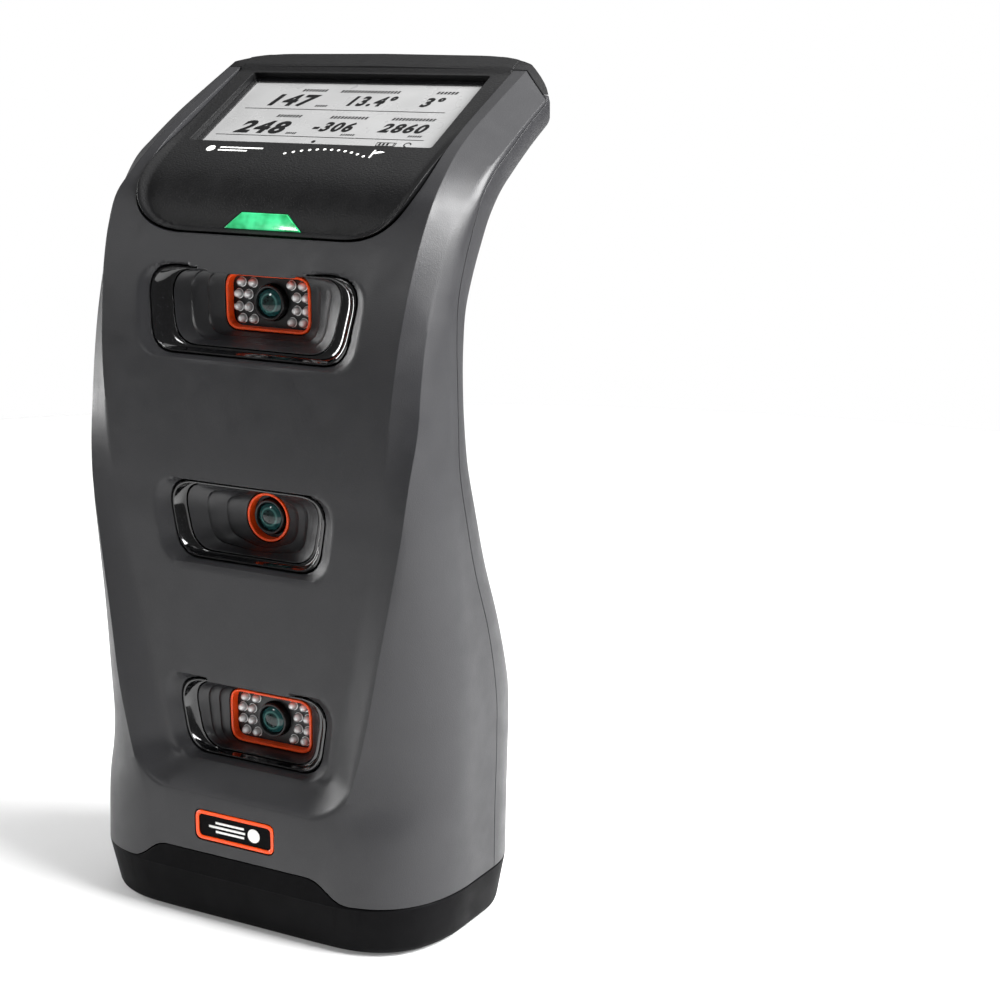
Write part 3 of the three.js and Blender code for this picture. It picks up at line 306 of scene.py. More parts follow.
def four_cornered(low, high, steps=12):
    """A rounded outline that is the same on both sides, from its two right (a, b, radius) corners."""
    return rounded([(-low[0], *low[1:]), low, high, (-high[0], *high[1:])], steps)


def rounded_rectangle(half_width, low, high, radius, steps=12):
    return four_cornered((half_width, low, radius), (half_width, high, radius), steps)


def signed_distance(x, z, outline):
    """How far points lie outside a closed outline, negative inside it."""
    best = np.full(x.shape, np.inf)
    inside = np.zeros(x.shape, bool)
    for (ax, az), (bx, bz) in zip(outline, np.roll(outline, -1, axis=0)):
        run, rise = bx - ax, bz - az
        along = np.clip(((x - ax) * run + (z - az) * rise) / max(run * run + rise * rise, 1e-12), 0, 1)
        best = np.minimum(best, np.hypot(x - ax - along * run, z - az - along * rise))
        if rise:
            crossed = ((az > z) != (bz > z)) & (x < ax + (z - az) / rise * run)
            inside ^= crossed
    return np.where(inside, -best, best)


def smooth_max(a, b, width):
    share = np.clip(0.5 + 0.5 * (a - b) / width, 0, 1)
    return b * (1 - share) + a * share + width * share * (1 - share)


def catmull_rom(points, steps):
    """A centripetal curve through points, along the first axis, with `steps` pieces to each interval."""
    first = 2 * points[0] - points[1]
    last = 2 * points[-1] - points[-2]
    padded = np.concatenate([first[None], points, last[None]])
    chords = np.maximum(np.linalg.norm(np.diff(padded, axis=0), axis=-1, keepdims=True), 1e-8) ** 0.5
    rows = []
    for i in range(1, len(padded) - 2):
        p0, p1, p2, p3 = padded[i - 1:i + 3]
        d0, d1, d2 = chords[i - 1:i + 2]
        leave = ((p1 - p0) / d0 - (p2 - p0) / (d0 + d1) + (p2 - p1) / d1) * d1
        arrive = ((p2 - p1) / d1 - (p3 - p1) / (d1 + d2) + (p3 - p2) / d2) * d1
        for t in np.arange(steps) / steps:
            rows.append(p1 + leave * t + (3 * (p2 - p1) - 2 * leave - arrive) * t ** 2
                        + (2 * (p1 - p2) + leave + arrive) * t ** 3)
    rows.append(points[-1])
    return np.array(rows)


def straight(start, end, pieces):
    share = (np.arange(pieces) / pieces)[:, None]
    return start * (1 - share) + end * share


# ---- The body's skin ----
FINE = dict(face=58, bevel=10, corner=16, side=6, rear=10, back=4, steps=15)
COARSE = dict(face=4, bevel=2, corner=6, side=3, rear=22, back=12, steps=10)
INNER = dict(face=2, bevel=1, corner=5, side=1, rear=6, back=1, steps=2)


def half_section(station, detail):
    """The right half of one section of the skin, from the front to the back on the centre line."""
    front = np.array([0, *station[0]])
    edge, ridge, corner, side, seam = (np.array(p, float) for p in station[1:6])
    back = np.array([0, *station[6]])
    flat = seam[0] * REAR_FLAT
    turn = (np.arange(detail["corner"]) / detail["corner"])[:, None]
    corner_points = ridge * (1 - turn) ** 2 + corner * 2 * turn * (1 - turn) + side * turn ** 2
    sweep = np.linspace(0, math.pi / 2, detail["rear"] + 1)[:, None]
    rear = seam * (1 - np.sin(sweep)) + back * np.sin(sweep)
    rear[:, 0] = flat + (seam[0] - flat) * np.cos(sweep[:, 0])
    return np.concatenate([
        straight(front, edge, detail["face"]), straight(edge, ridge, detail["bevel"]), corner_points,
        straight(side, seam, detail["side"]), rear[:-1],
        straight(rear[-1], back, detail["back"]), back[None]])


def skin_rings(stations, detail):
    """Rings round the whole skin, from the bottom to past the end of the head."""
    half = catmull_rom(np.array([half_section(s, detail) for s in stations]), detail["steps"])
    other = half[:, -2:0:-1] * (-1, 1, 1)
    return np.concatenate([half, other], axis=1)


def inset_station(station):
    """The station of the inner face of the wall, kept behind the floor of the trough in the front."""
    front, back = np.array(station[0]), np.array(station[6])
    inward = (back - front) / np.linalg.norm(back - front)

    def shrink(point, side, deep):
        return tuple(point + WALL * np.array([-side, *(inward * deep)]))

    new_front = shrink((0, *front), 0, 1)
    new_edge = shrink(station[1], 0.4, 1)
    if 50 < front[1] < TROUGH_TOP_Z:
        new_front = (0, TROUGH_FLOOR_Y + WALL, new_front[2])
        new_edge = (new_edge[0], TROUGH_FLOOR_Y + WALL, new_edge[2])
    return (new_front[1:], new_edge, shrink(station[2], 1.1, 1), shrink(station[3], 1, 1),
            shrink(station[4], 1, 0), shrink(station[5], 1, 0), shrink((0, *back), 0, -1)[1:])


def trough_depth(x, z):
    """The trough: a flat floor inside the crease, and walls that rise forward from it to the ridge."""
    outside = signed_distance(x, z, four_cornered(*TROUGH_CREASE))
    softened = smooth_max(outside, np.zeros_like(outside), 1.6)
    return TROUGH_FLOOR_Y - np.interp(z, *TROUGH_STEEPNESS) * softened


def bezel_outline(size, grow=0.0):
    """An outline about a lens axis, wider at its top corners than at its bottom ones."""
    half, low, high = size
    narrow = half - BEZEL_TAPER
    low_radius = min(BEZEL_RADII[0], (high - low) / 3)
    high_radius = min(BEZEL_RADII[1], (high - low) / 2.4)
    return four_cornered((narrow + grow, low - grow, low_radius), (half + grow, high + grow, high_radius))


def lipped(camera, outline):
    """An outline whose top is lowered over the middle, where the front face reaches over the window."""
    flat, end, level = camera["lip"]
    return [(x, min(v, np.interp(abs(x), [flat, end], [level, max(level, v)]))) for x, v in outline]


def bezel_ring(camera, outline, depth):
    x, v = np.asarray(outline).T
    return np.stack([x, camera["face_y"] + depth + camera["lean"] * v, camera["z"] + v], axis=-1)


def fine_outline(size, grow):
    """A bezel outline with points every 1.5 mm or so along its long top."""
    outline = bezel_outline(size, grow)
    points = []
    for start, end in zip(outline, np.roll(outline, -1, axis=0)):
        pieces = max(1, int(np.linalg.norm(end - start) / 1.5))
        points.extend(straight(start, end, pieces))
    return np.array(points)


def recess_depth(camera, x, z):
    """The flare from the front face down to the window frame."""
    v = z - camera["z"]
    mouth, seat = (np.array(lipped(camera, fine_outline(camera[part], grow)))
                   for part, grow in (("recess", 0), ("frame", GAP)))
    outside = signed_distance(x, v, mouth)
    to_seat = np.maximum(signed_distance(x, v, seat), 0)
    share = np.where(outside < 0, -outside / (to_seat - outside + 1e-9), -outside / 3)
    return camera["face_y"] + camera["lean"] * v + FRAME_DEPTH * share


def carve_front(rings, detail):
    """Presses the trough and the camera recesses into the front of the skin."""
    half = detail["face"] + detail["bevel"] + detail["corner"]
    around = rings.shape[1]
    columns = np.r_[0:half, around - half + 1:around]
    x, y, z = (rings[:, columns, i] for i in range(3))
    y = np.where(z < TROUGH_TOP_Z + 4, smooth_max(y, trough_depth(x, z), 0.7), y)
    for camera in CAMERAS.values():
        near = (np.abs(x) < RECESS_REACH[0]) & (np.abs(z - camera["z"]) < RECESS_REACH[1])
        y = np.where(near, smooth_max(y, recess_depth(camera, x, z), 0.5), y)
    rings[:, columns, 1] = y
    return rings


def head_end(inset):
    """The block that ends the head at the back, with corners that grow rounder towards the top."""
    half, end = HEAD_HALF_WIDTH + 1 - inset, REAR_Y - inset
    rings = []
    for z, radius in HEAD_END_LEVELS:
        outline = four_cornered((half, AHEAD, 1), (half, end, radius - inset), 16)
        rings.append([(x, y, z) for x, y in outline])
    return loft("head_end", rings)


def seam_line(shift):
    """The seam seen from the side, moved by `shift` towards the front."""
    stations = catmull_rom(np.array([s[5] for s in STATIONS], float), 6)
    points = [[25.2, -5.0]] + [[y, z] for _, y, z in stations if y < 59.5] + SEAM_END
    moved = []
    for i, (y, z) in enumerate(points):
        before, after = points[max(i - 1, 0)], points[min(i + 1, len(points) - 1)]
        normal = np.array([after[1] - before[1], before[0] - after[0]])
        moved.append(np.array([y, z]) + normal / np.linalg.norm(normal) * shift)
    return moved


def front_region(shift):
    return prism("front_region", "x", [*seam_line(shift), (-80, 327), (-80, -5)], -ASIDE, ASIDE)


def hollow():
    rings = skin_rings([inset_station(s) for s in STATIONS], INNER)
    first = rings[:1] - (0, 0, 8)
    return combine(loft("hollow", np.concatenate([first, rings])), head_end(WALL * 1.3), "INTERSECT")


def pod_outline(inset):
    half = POD_HALF - inset
    return four_cornered((half, POD_LOW + inset, 26), (half, ABOVE, 1), 20)


def hump_outline(grow):
    """The raised middle of the base's front edge, with sides that slant down to the rest of it."""
    half, top, foot = HUMP["half"] + grow, HUMP["top"] + grow, BASE_TOP + grow + 0.03
    wide, radius = half + HUMP["slant"], HUMP["radius"]
    end = wide + HUMP["run_out"]
    right = [(end, BASE_TOP - 1, 0), (end, foot, 0), (wide, foot, radius), (half, top, radius)]
    return rounded([(-end, BASE_TOP - 1, 0), *right, *((-x, z, turn) for x, z, turn in right[:0:-1])], 8)


def badge_outline(inset, radius):
    return rounded_rectangle(BADGE["half"] - inset, BADGE["low"] + inset, BADGE["high"] - inset, radius)


# ---- Materials ----
class Surface:
    """A principled material whose colour, roughness and bump vary with procedural noise."""

    def __init__(self, name, roughness, metallic=0.0):
        self.material = bpy.data.materials.new(name)
        self.material.use_nodes = True
        self.nodes = self.material.node_tree.nodes
        self.links = self.material.node_tree.links
        self.shader = self.nodes["Principled BSDF"]
        self.place = self.nodes.new("ShaderNodeTexCoord").outputs["Object"]
        self.use("Metallic", metallic)
        self.use("Roughness", roughness)

    def feed(self, socket, value):
        """Links a node's output to a socket, or sets the socket to a number or a colour."""
        if hasattr(value, "links"):
            self.links.new(value, socket)
        else:
            socket.default_value = value

    def use(self, name, value):
        self.feed(self.shader.inputs[name], value)

    def node(self, kind, inputs=None, **settings):
        """A new node with its settings, and its inputs by name or number."""
        made = self.nodes.new("ShaderNode" + kind)
        for key, value in settings.items():
            setattr(made, key, value)
        for key, value in (inputs or {}).items():
            self.feed(made.inputs[key], value)
        return made

    def noise(self, size, detail=2.0, stretch=None):
        """Noise whose features are about `size` millimetres across."""
        place = self.place
        if stretch:
            place = self.node("VectorMath", {0: place, 1: stretch}, operation="MULTIPLY").outputs[0]
        inputs = {"Vector": place, "Scale": 1 / (size * MM), "Detail": detail}
        return self.node("TexNoise", inputs).outputs["Fac"]

    def grid(self, scale, line, **settings):
        """The lines of a brick pattern."""
        inputs = {"Vector": self.place, "Scale": scale, "Mortar Size": line}
        return self.node("TexBrick", inputs, **settings).outputs["Fac"]

    def spread(self, value, low, high, start=0.3, end=0.7):
        inputs = {"Value": value, "From Min": start, "From Max": end, "To Min": low, "To Max": high}
        return self.node("MapRange", inputs).outputs["Result"]

    def mix(self, share, first, second):
        return self.node("Mix", {0: share, 6: first, 7: second}, data_type="RGBA").outputs[2]

    def multiply(self, first, second):
        return self.node("Math", {0: first, 1: second}, operation="MULTIPLY").outputs[0]

    def coat(self, weight, roughness):
        self.use("Coat Weight", weight)
        self.use("Coat Roughness", roughness)

    def glow(self, colour, strength):
        """One colour for what the surface reflects and what it gives off."""
        self.use("Base Color", colour)
        self.use("Emission Color", colour)
        self.use("Emission Strength", strength)

    def vary_roughness(self, size, detail, low, high):
        self.use("Roughness", self.spread(self.noise(size, detail), low, high))

    def edge_wear(self, radius):
        """How strongly the surface bends within `radius` millimetres, and the rounded normal there."""
        bevel = self.node("Bevel", {"Radius": radius * MM}, samples=4).outputs[0]
        flat = self.node("NewGeometry").outputs["Normal"]
        agreement = self.node("VectorMath", {0: bevel, 1: flat}, operation="DOT_PRODUCT").outputs["Value"]
        return self.spread(agreement, 1.0, 0.0, 0.75, 0.99), bevel

    def bump(self, height, distance, normal=None):
        inputs = {"Height": height, "Distance": distance * MM}
        if normal:
            inputs["Normal"] = normal
        self.use("Normal", self.node("Bump", inputs).outputs[0])


def linear(hex_colour, factor=1.0):
    """A linear colour with alpha from an sRGB one such as 0x4a4a4c."""
    parts = [(hex_colour >> shift & 255) / 255 for shift in (16, 8, 0)]
    return (*(factor * (c / 12.92 if c <= 0.04045 else ((c + 0.055) / 1.055) ** 2.4) for c in parts), 1)


def moulded(name, colour, roughness, grain, depth, edge=0.35, wear=0.35, specular=0.5):
    """Grained plastic: fine texture, faint clouding and edges rubbed a little lighter."""
    surface = Surface(name, roughness)
    worn, rounded_normal = surface.edge_wear(edge)
    cloud = surface.noise(26, 3)
    body = surface.mix(surface.spread(cloud, 0, 1), linear(colour, 0.92), linear(colour, 1.08))
    speck = surface.noise(grain, 3)
    grained = surface.mix(surface.spread(speck, 0, 0.24), body, linear(colour, 1.7))
    rubbed = surface.multiply(worn, surface.spread(surface.noise(3, 4), 0.1 * wear, wear))
    surface.use("Base Color", surface.mix(rubbed, grained, linear(colour, 2.2)))
    surface.vary_roughness(9, 4, roughness - 0.05, roughness + 0.06)
    surface.use("Specular IOR Level", specular)
    surface.bump(speck, depth, rounded_normal)
    return surface.material


def polished(name, colour, roughness=0.06):
    """Glossy plastic with faint waviness, fine dust and a clear coat."""
    surface = Surface(name, roughness)
    dust = surface.spread(surface.noise(0.35, 2), 0, 0.5, 0.62, 0.8)
    surface.use("Base Color", surface.mix(dust, linear(colour), linear(0x55555a)))
    surface.vary_roughness(12, 3, roughness, roughness + 0.07)
    surface.coat(0.6, 0.04)
    _, rounded_normal = surface.edge_wear(0.3)
    surface.bump(surface.noise(18, 2), 0.02, rounded_normal)
    return surface.material


def metal(name, colour, roughness, grain=(1, 1, 14)):
    """Brushed or blackened metal with streaks and small scratches."""
    surface = Surface(name, roughness, 1.0)
    streak = surface.noise(1.2, 3, grain)
    share = surface.spread(streak, 0, 1)
    surface.use("Base Color", surface.mix(share, linear(colour, 0.8), linear(colour, 1.15)))
    surface.use("Roughness", surface.spread(streak, roughness - 0.06, roughness + 0.12))
    _, rounded_normal = surface.edge_wear(0.25)
    surface.bump(streak, 0.01, rounded_normal)
    return surface.material


def circuit_board():
    """Green solder mask with the shadows of tracks under it."""
    surface = Surface("circuit_board_mask", 0.4)
    track = surface.grid(160, 0.03)
    base = surface.mix(track, linear(0x123524), linear(0x1f5238))
    stain = surface.spread(surface.noise(2, 3), 0, 0.5)
    surface.use("Base Color", surface.mix(stain, base, linear(0x0d2418)))
    surface.vary_roughness(4, 3, 0.32, 0.5)
    surface.bump(track, 0.03)
    return surface.material


def display_film():
    """The lit reflective display: pale grey with a faint cell grid."""
    surface = Surface("display_film", 0.28)
    cells = surface.grid(1600, 0.06, offset=0.0)
    tone = surface.mix(surface.spread(surface.noise(22, 2), 0, 1), linear(0x868686), linear(0x909090))
    shaded = surface.mix(surface.spread(cells, 0, 0.12, 0, 1), tone, linear(0x707070))
    surface.glow(shaded, 0.22)
    surface.vary_roughness(15, 3, 0.24, 0.34)
    surface.bump(surface.noise(0.5, 1), 0.004)
    return surface.material


def display_ink():
    surface = Surface("display_ink", 0.4)
    surface.use("Base Color", surface.mix(surface.noise(0.6, 2), linear(0x040405), linear(0x0a0a0b)))
    surface.vary_roughness(3, 2, 0.35, 0.45)
    surface.use("Specular IOR Level", 0.15)
    surface.bump(surface.noise(0.4, 2), 0.003)
    return surface.material


def status_glow():
    """Translucent green plastic lit unevenly from behind."""
    surface = Surface("status_glow", 0.16)
    patch = surface.spread(surface.noise(7, 2), 0, 1, 0.35, 0.68)
    tone = surface.mix(patch, linear(0x067a3c), linear(0x3fca86))
    surface.glow(tone, 0.5)
    surface.coat(0.7, 0.05)
    surface.vary_roughness(5, 3, 0.12, 0.24)
    surface.bump(surface.noise(2.5, 2), 0.05)
    return surface.material


def lamp_dome():
    """Clear epoxy over a bright cup, as a mirror-like opaque bead: its white centre is the cup's own colour,
    and painted shade darkens it towards its rim by view angle.
    """
    surface = Surface("lamp_dome", 0.1, 0.1)
    painted_rim_shade = surface.node("LayerWeight", {"Blend": 0.55}).outputs["Facing"]
    # Painted shade: the base colour runs from the cup's white, where the bead faces the view, to dark at its
    # rim.
    surface.use("Base Color", surface.mix(painted_rim_shade, linear(0xffffff), linear(0x26292a)))
    surface.vary_roughness(1.2, 2, 0.06, 0.16)
    surface.coat(1.0, 0.03)
    surface.bump(surface.noise(1.6, 1), 0.05)
    return surface.material


def coated_lens():
    """Dark coated glass with the lighter ring of the element behind it, about the piece's own axis."""
    surface = Surface("coated_lens", 0.04)
    flat = surface.node("VectorMath", {0: surface.place, 1: (1, 0, 1)}, operation="MULTIPLY").outputs[0]
    radius = surface.node("VectorMath", {0: flat}, operation="LENGTH").outputs["Value"]
    ramp = surface.node("ValToRGB", {"Fac": surface.spread(radius, 0, 1, 0, 5.2 * MM)})
    stops = [(0.0, 0x020607), (0.4, 0x041112), (0.52, 0x0a2c2c), (0.6, 0x4d7874), (0.67, 0x2f5654),
             (0.71, 0x0a3234), (0.9, 0x084042), (1.0, 0x03181a)]
    elements = ramp.color_ramp.elements
    while len(elements) < len(stops):
        elements.new(0.5)
    for element, (position, colour) in zip(elements, stops):
        element.position = position
        element.color = linear(colour)
    haze = surface.spread(surface.noise(1.5, 2), 0, 0.08)
    surface.use("Base Color", surface.mix(haze, ramp.outputs["Color"], linear(0x7fb0a8)))
    surface.vary_roughness(3, 2, 0.03, 0.08)
    surface.use("Specular IOR Level", 0.3)
    surface.coat(0.25, 0.02)
    surface.bump(surface.noise(4, 1), 0.01)
    return surface.material


SHELL = moulded("shell_grey", 0x202022, 0.42, 0.42, 0.05, edge=0.5, wear=0.25, specular=0.42)
BASE_BLACK = moulded("base_black", 0x050506, 0.55, 0.5, 0.06, edge=0.5, specular=0.05)
POD_BLACK = moulded("pod_black", 0x0b0b0c, 0.4, 0.75, 0.14, edge=0.45, wear=0.3, specular=0.24)
CONE = moulded("cone_black", 0x1e1e20, 0.36, 0.3, 0.03, edge=0.3, wear=0.5)
BARREL = moulded("barrel_black", 0x0e0e0f, 0.35, 0.25, 0.02, edge=0.2, wear=0.5)
GLOSS = polished("frame_gloss", 0x050506)
ORANGE = moulded("trim_orange", 0xf44c0a, 0.34, 0.5, 0.02, edge=0.25, wear=0.08)
RUBBER = moulded("foot_rubber", 0x101010, 0.8, 0.35, 0.05)
WHITE_PRINT = moulded("print_white", 0xe9e9e6, 0.5, 0.4, 0.01, wear=0.05)
BATTERY = moulded("battery_wrap", 0x23395e, 0.3, 0.6, 0.02)
LIGHT_GUIDE = moulded("light_guide", 0xe8e8e2, 0.4, 0.5, 0.01)
BOARD = circuit_board()
FILM = display_film()
INK = display_ink()
GLOW = status_glow()
DOME = lamp_dome()
LENS = coated_lens()
STEEL = metal("plain_steel", 0x8d9093, 0.32)
BLACK_STEEL = metal("black_oxide", 0x2a2a2c, 0.38)
ALUMINIUM = metal("machined_aluminium", 0xb5b8bb, 0.4)


# ---- Shells ----
SHELL_ANGLE = 22


def recess_cut(camera, outline, start, end):
    return loft("recess_cut", [bezel_ring(camera, outline, depth) for depth in (start, end)])


def front_shell():
    shell = loft("front_shell_moulding", carve_front(skin_rings(STATIONS, FINE), FINE))
    combine(shell, front_region(-GAP / 2), "INTERSECT")
    combine(shell, head_end(0), "INTERSECT")
    inside = hollow()
    for camera in CAMERAS.values():
        combine(inside, recess_cut(camera, bezel_outline(camera["recess"], 2), CUT_START, COLLAR_DEPTH))
    combine(shell, inside)
    combine(shell, everything_below(SHELL_BOTTOM))
    combine(shell, prism("pod_opening", "y", pod_outline(0), AHEAD, BEHIND))
    combine(shell, prism("hump_notch", "y", hump_outline(GAP), AHEAD, -10))
    combine(shell, prism("badge_seat", "y", badge_outline(-GAP, BADGE["radius"]), AHEAD, BADGE["face"] + 2.2))
    for camera in CAMERAS.values():
        seat = fine_outline(camera["frame"], GAP)
        combine(shell, recess_cut(camera, seat, LIP_DEPTH, CUT_END))
        combine(shell, recess_cut(camera, lipped(camera, seat), CUT_START, CUT_END))
    stands_for(shell, SHELL, "grey_shell", "front_shell", angle=SHELL_ANGLE)


def back_depth_at(x, z):
    """The depth of the back's surface at a place seen from behind."""
    rings = skin_rings(STATIONS, COARSE).reshape(-1, 3)
    behind = rings[rings[:, 1] > 10]
    return behind[np.argmin(np.hypot(behind[:, 0] - x, behind[:, 2] - z)), 1]


def cylinder_y(name, radius, low, high, x, z):
    return prism(name, "y", circle(radius, (x, z), 40), low, high)


def rear_shell():
    shell = loft("rear_shell_moulding", skin_rings(STATIONS, COARSE))
    combine(shell, head_end(0), "INTERSECT")
    combine(shell, front_region(GAP / 2))
    combine(shell, cap_region(-GAP / 2))
    combine(shell, hollow())
    combine(shell, everything_below(SHELL_BOTTOM))
    bay = rounded_rectangle(PORT_BAY["half"], PORT_BAY["low"], PORT_BAY["high"], 1, 4)
    combine(shell, prism("bay_opening", "y", bay, 40, BEHIND))
    combine(shell, cylinder_y("button_hole", BUTTON["radius"] + GAP, 60, BEHIND, 0, BUTTON["z"]))
    for x, z in SHELL_SCREWS:
        combine(shell, cylinder_y("screw_hole", SCREW["shank"], 0, BEHIND, x, z))
        seat = back_depth_at(x, z) - SCREW["sunk"]
        combine(shell, cylinder_y("counterbore", SCREW["head"], seat, BEHIND, x, z))
    stands_for(shell, SHELL, "grey_shell", "rear_shell", angle=SHELL_ANGLE)


def cap_region(shift):
    region = box("cap_region", (-ASIDE, ASIDE), (40, BEHIND), (CAP_BOTTOM + shift, ABOVE))
    return combine(region, front_region(shift))


# ---- Display ----
def pod_profile():
    """The housing's face in side view, about a millimetre between points, from its foot to its top."""
    t = np.linspace(0, 1, POD_FOOT_POINTS)[:, None]
    foot = np.array(POD_FOOT)
    curve = (foot[0] * (1 - t) ** 3 + foot[1] * 3 * t * (1 - t) ** 2
             + foot[2] * 3 * t ** 2 * (1 - t) + foot[3] * t ** 3)
    top = np.array(POD_TOP)
    return np.concatenate([curve, straight(foot[3], top[0], 48)[1:], catmull_rom(top, 4)])


def rim_height(x, z):
    """How far the housing's face rises to its rim, which is wide at the sides and narrow at the bottom."""
    face = four_cornered(RIM_CORNER, (RIM_CORNER[0], ABOVE, 1), 20)
    inside = np.maximum(-signed_distance(x, z, pod_outline(0.6)), 0)
    outside = np.maximum(signed_distance(x, z, face), 0)
    share = outside / (inside + outside + 1e-9)
    return RIM_HEIGHT * share ** 2 * (3 - 2 * share) * np.interp(z, RIM_FADE, [1, 0])


def display_pod():
    """The housing as a sheet that follows its profile, raised at the rim in front and flat behind."""
    profile = pod_profile()
    tangent = np.gradient(profile, axis=0)
    normal = np.stack([-tangent[:, 1], tangent[:, 0]], axis=-1)
    normal /= np.linalg.norm(normal, axis=1)[:, None]
    across = np.linspace(-62, 62, 156)
    rings = []
    for (y, z), (ny, nz) in zip(profile, normal):
        rise = rim_height(across, np.full_like(across, z))
        front, back = (np.stack([across, y + ny * out, z + nz * out], axis=-1)
                       for out in (rise, np.full_like(rise, -POD_WALL)))
        rings.append(np.concatenate([front, back[::-1]]))
    return loft("display_housing_moulding", rings)


def on_display(across, up, out):
    """A point on the display, given across it, up its slope and out of it, about its window's centre."""
    cos, sin = math.cos(DISPLAY_TILT), math.sin(DISPLAY_TILT)
    return (across, WINDOW["y"] + up * cos - out * sin, WINDOW["z"] + up * sin + out * cos)


def display_slab(name, outline, back, front):
    return loft(name, [[on_display(u, v, level) for u, v in outline] for level in (back, front)])


def status_lens_outline(grow):
    s = STATUS_LENS
    low_half, high_half = (s[part] + grow * 2.5 for part in ("low_half", "high_half"))
    return [(-low_half, s["low"] - grow), (low_half, s["low"] - grow),
            (high_half, s["high"] + grow), (-high_half, s["high"] + grow)]


def display_housing():
    pod = display_pod()
    combine(pod, prism("pod_limit", "y", pod_outline(POD_GAP), AHEAD, POD_END), "INTERSECT")
    combine(pod, head_end(GAP), "INTERSECT")
    cap = loft("cap", skin_rings(STATIONS, COARSE))
    combine(cap, head_end(0), "INTERSECT")
    combine(cap, hollow())
    combine(cap, cap_region(GAP / 2), "INTERSECT")
    combine(pod, cap, "UNION")
    window = rounded_rectangle(WINDOW["half"], -WINDOW["half_slope"], WINDOW["half_slope"], 1.2, 5)
    combine(pod, display_slab("window", window, -12, 12))
    combine(pod, prism("status_seat", "y", status_lens_outline(0.15), -20, 20))
    stands_for(pod, POD_BLACK, "black_plastic", "display_housing")


def on_pod(across, below):
    """A point just proud of the housing, `below` millimetres down its face from the foot of the slope."""
    profile = pod_profile()[:POD_FOOT_POINTS][::-1]
    lengths = np.r_[0, np.cumsum(np.linalg.norm(np.diff(profile, axis=0), axis=1))]
    y, z = (np.interp(below, lengths, profile[:, i]) for i in (0, 1))
    ahead = [np.interp(below + 1, lengths, profile[:, i]) for i in (0, 1)]
    run, fall = ahead[0] - y, ahead[1] - z
    length = math.hypot(run, fall)
    return (across, y + PRINT_LIFT * fall / length, z - PRINT_LIFT * run / length)


def pod_marks():
    """Plain pictograms under the window: a ball with its trail, and a dotted flight that ends at a flag."""
    shapes = [circle(1.8, (-38.5, 5.2), 32), rectangle(-34.8, -16, 3.9, 4.7), rectangle(-34.8, -22, 5.7, 6.5)]
    for along in np.linspace(0, 1, FLIGHT["dots"]):
        rise = 4 * along * (1 - along)
        place = (FLIGHT["start"] + FLIGHT["length"] * along, FLIGHT["low"] - FLIGHT["height"] * rise)
        shapes.append(circle(FLIGHT["radius"], place, 20))
    shapes += [rectangle(30.4, 31.1, 2.6, 7.6), [(31.1, 2.6), (35.4, 3.9), (31.1, 5.2)]]
    marks = mesh_object("housing_marks", *patches(shapes, on_pod))
    stands_for(marks, WHITE_PRINT, "light_guide")


def display_mask():
    """The black frame printed round the visible part of the display."""
    half, half_slope = WINDOW["half"] - 0.15, WINDOW["half_slope"] - 0.15
    outer = rounded_rectangle(half, -half_slope, half_slope, 1.1, 5)
    inner = rounded_rectangle(LCD_HALF, -LCD_HALF_SLOPE, LCD_HALF_SLOPE, 1.2, 5)
    mask = display_slab("display_mask", outer, LCD_DEPTH + 0.05, LCD_DEPTH + 0.5)
    combine(mask, display_slab("mask_opening", inner, LCD_DEPTH - 1, LCD_DEPTH + 1))
    stands_for(mask, GLOSS, "gloss_black")


# Readouts: text, left end, right end, baseline and top, all on the display.
READOUTS = [
    ("147", -35.6, -15.0, 5.0, 13.2), ("13.4°", -1.0, 18.5, 6.0, 12.8), ("3°", 29.9, 38.6, 6.3, 12.6),
    ("248", -39.6, -17.2, -13.8, -5.2), ("-306", -6.6, 10.6, -11.4, -5.0), ("2860", 21.6, 41.2, -10.9, -4.9),
]
# Captions and units shown as plain bars: left end, right end, baseline and height.
CAPTIONS = [
    (-25.6, -14.5, 15.3, 1.7), (-8.4, 17.4, 15.0, 1.7), (32.7, 41.7, 15.2, 1.7), (-26.7, -15.6, -2.6, 1.7),
    (-3.0, 13.2, -2.7, 1.7), (23.5, 41.6, -2.8, 1.7), (-14.2, -8.8, 5.0, 1.2), (-16.2, -11.6, -13.6, 1.2),
    (7.6, 13.6, -13.6, 1.1), (35.6, 41.4, -13.3, 1.1),
]
DIVIDERS = [(-44.2, 42.7, 3.0), (-46.2, 43.4, -15.1)]


def on_film(obj, lift=0.06):
    """Lays a flat piece, drawn in millimetres about the window's centre, on the display."""
    turned = Matrix.Rotation(DISPLAY_TILT, 4, "X")
    origin = Vector(on_display(0, 0, LCD_DEPTH + lift)) - Vector((0, DEPTH_CENTRE, 0))
    obj.matrix_world = Matrix.Translation(origin * MM) @ turned @ Matrix.Scale(MM, 4)
    bpy.context.view_layer.update()
    obj.data.transform(obj.matrix_world)
    obj.matrix_world = Matrix.Identity(4)
    return obj


def patches(shapes, place):
    """The points and faces of flat shapes, with each of their points put in place by a function."""
    points, faces = [], []
    for shape in shapes:
        faces.append(tuple(range(len(points), len(points) + len(shape))))
        points.extend(place(*point) for point in shape)
    return points, faces


def flat_object(name, shapes):
    """Flat shapes in one mesh."""
    points, faces = patches(shapes, lambda x, y: (x, y, 0))
    mesh = bpy.data.meshes.new(name)
    mesh.from_pydata(points, [], faces)
    obj = bpy.data.objects.new(name, mesh)
    scene.collection.objects.link(obj)
    return obj


def text_mesh(text):
    """Bold digits as a flat mesh."""
    curve = bpy.data.curves.new("readout", "FONT")
    curve.body = text
    curve.offset = 0.045
    curve.space_character = 1.2
    curve.shear = 0.28
    curve.resolution_u = 4
    obj = bpy.data.objects.new("readout", curve)
    scene.collection.objects.link(obj)
    bpy.context.view_layer.update()
    mesh = bpy.data.meshes.new_from_object(obj.evaluated_get(bpy.context.evaluated_depsgraph_get()))
    bpy.data.objects.remove(obj)
    return mesh


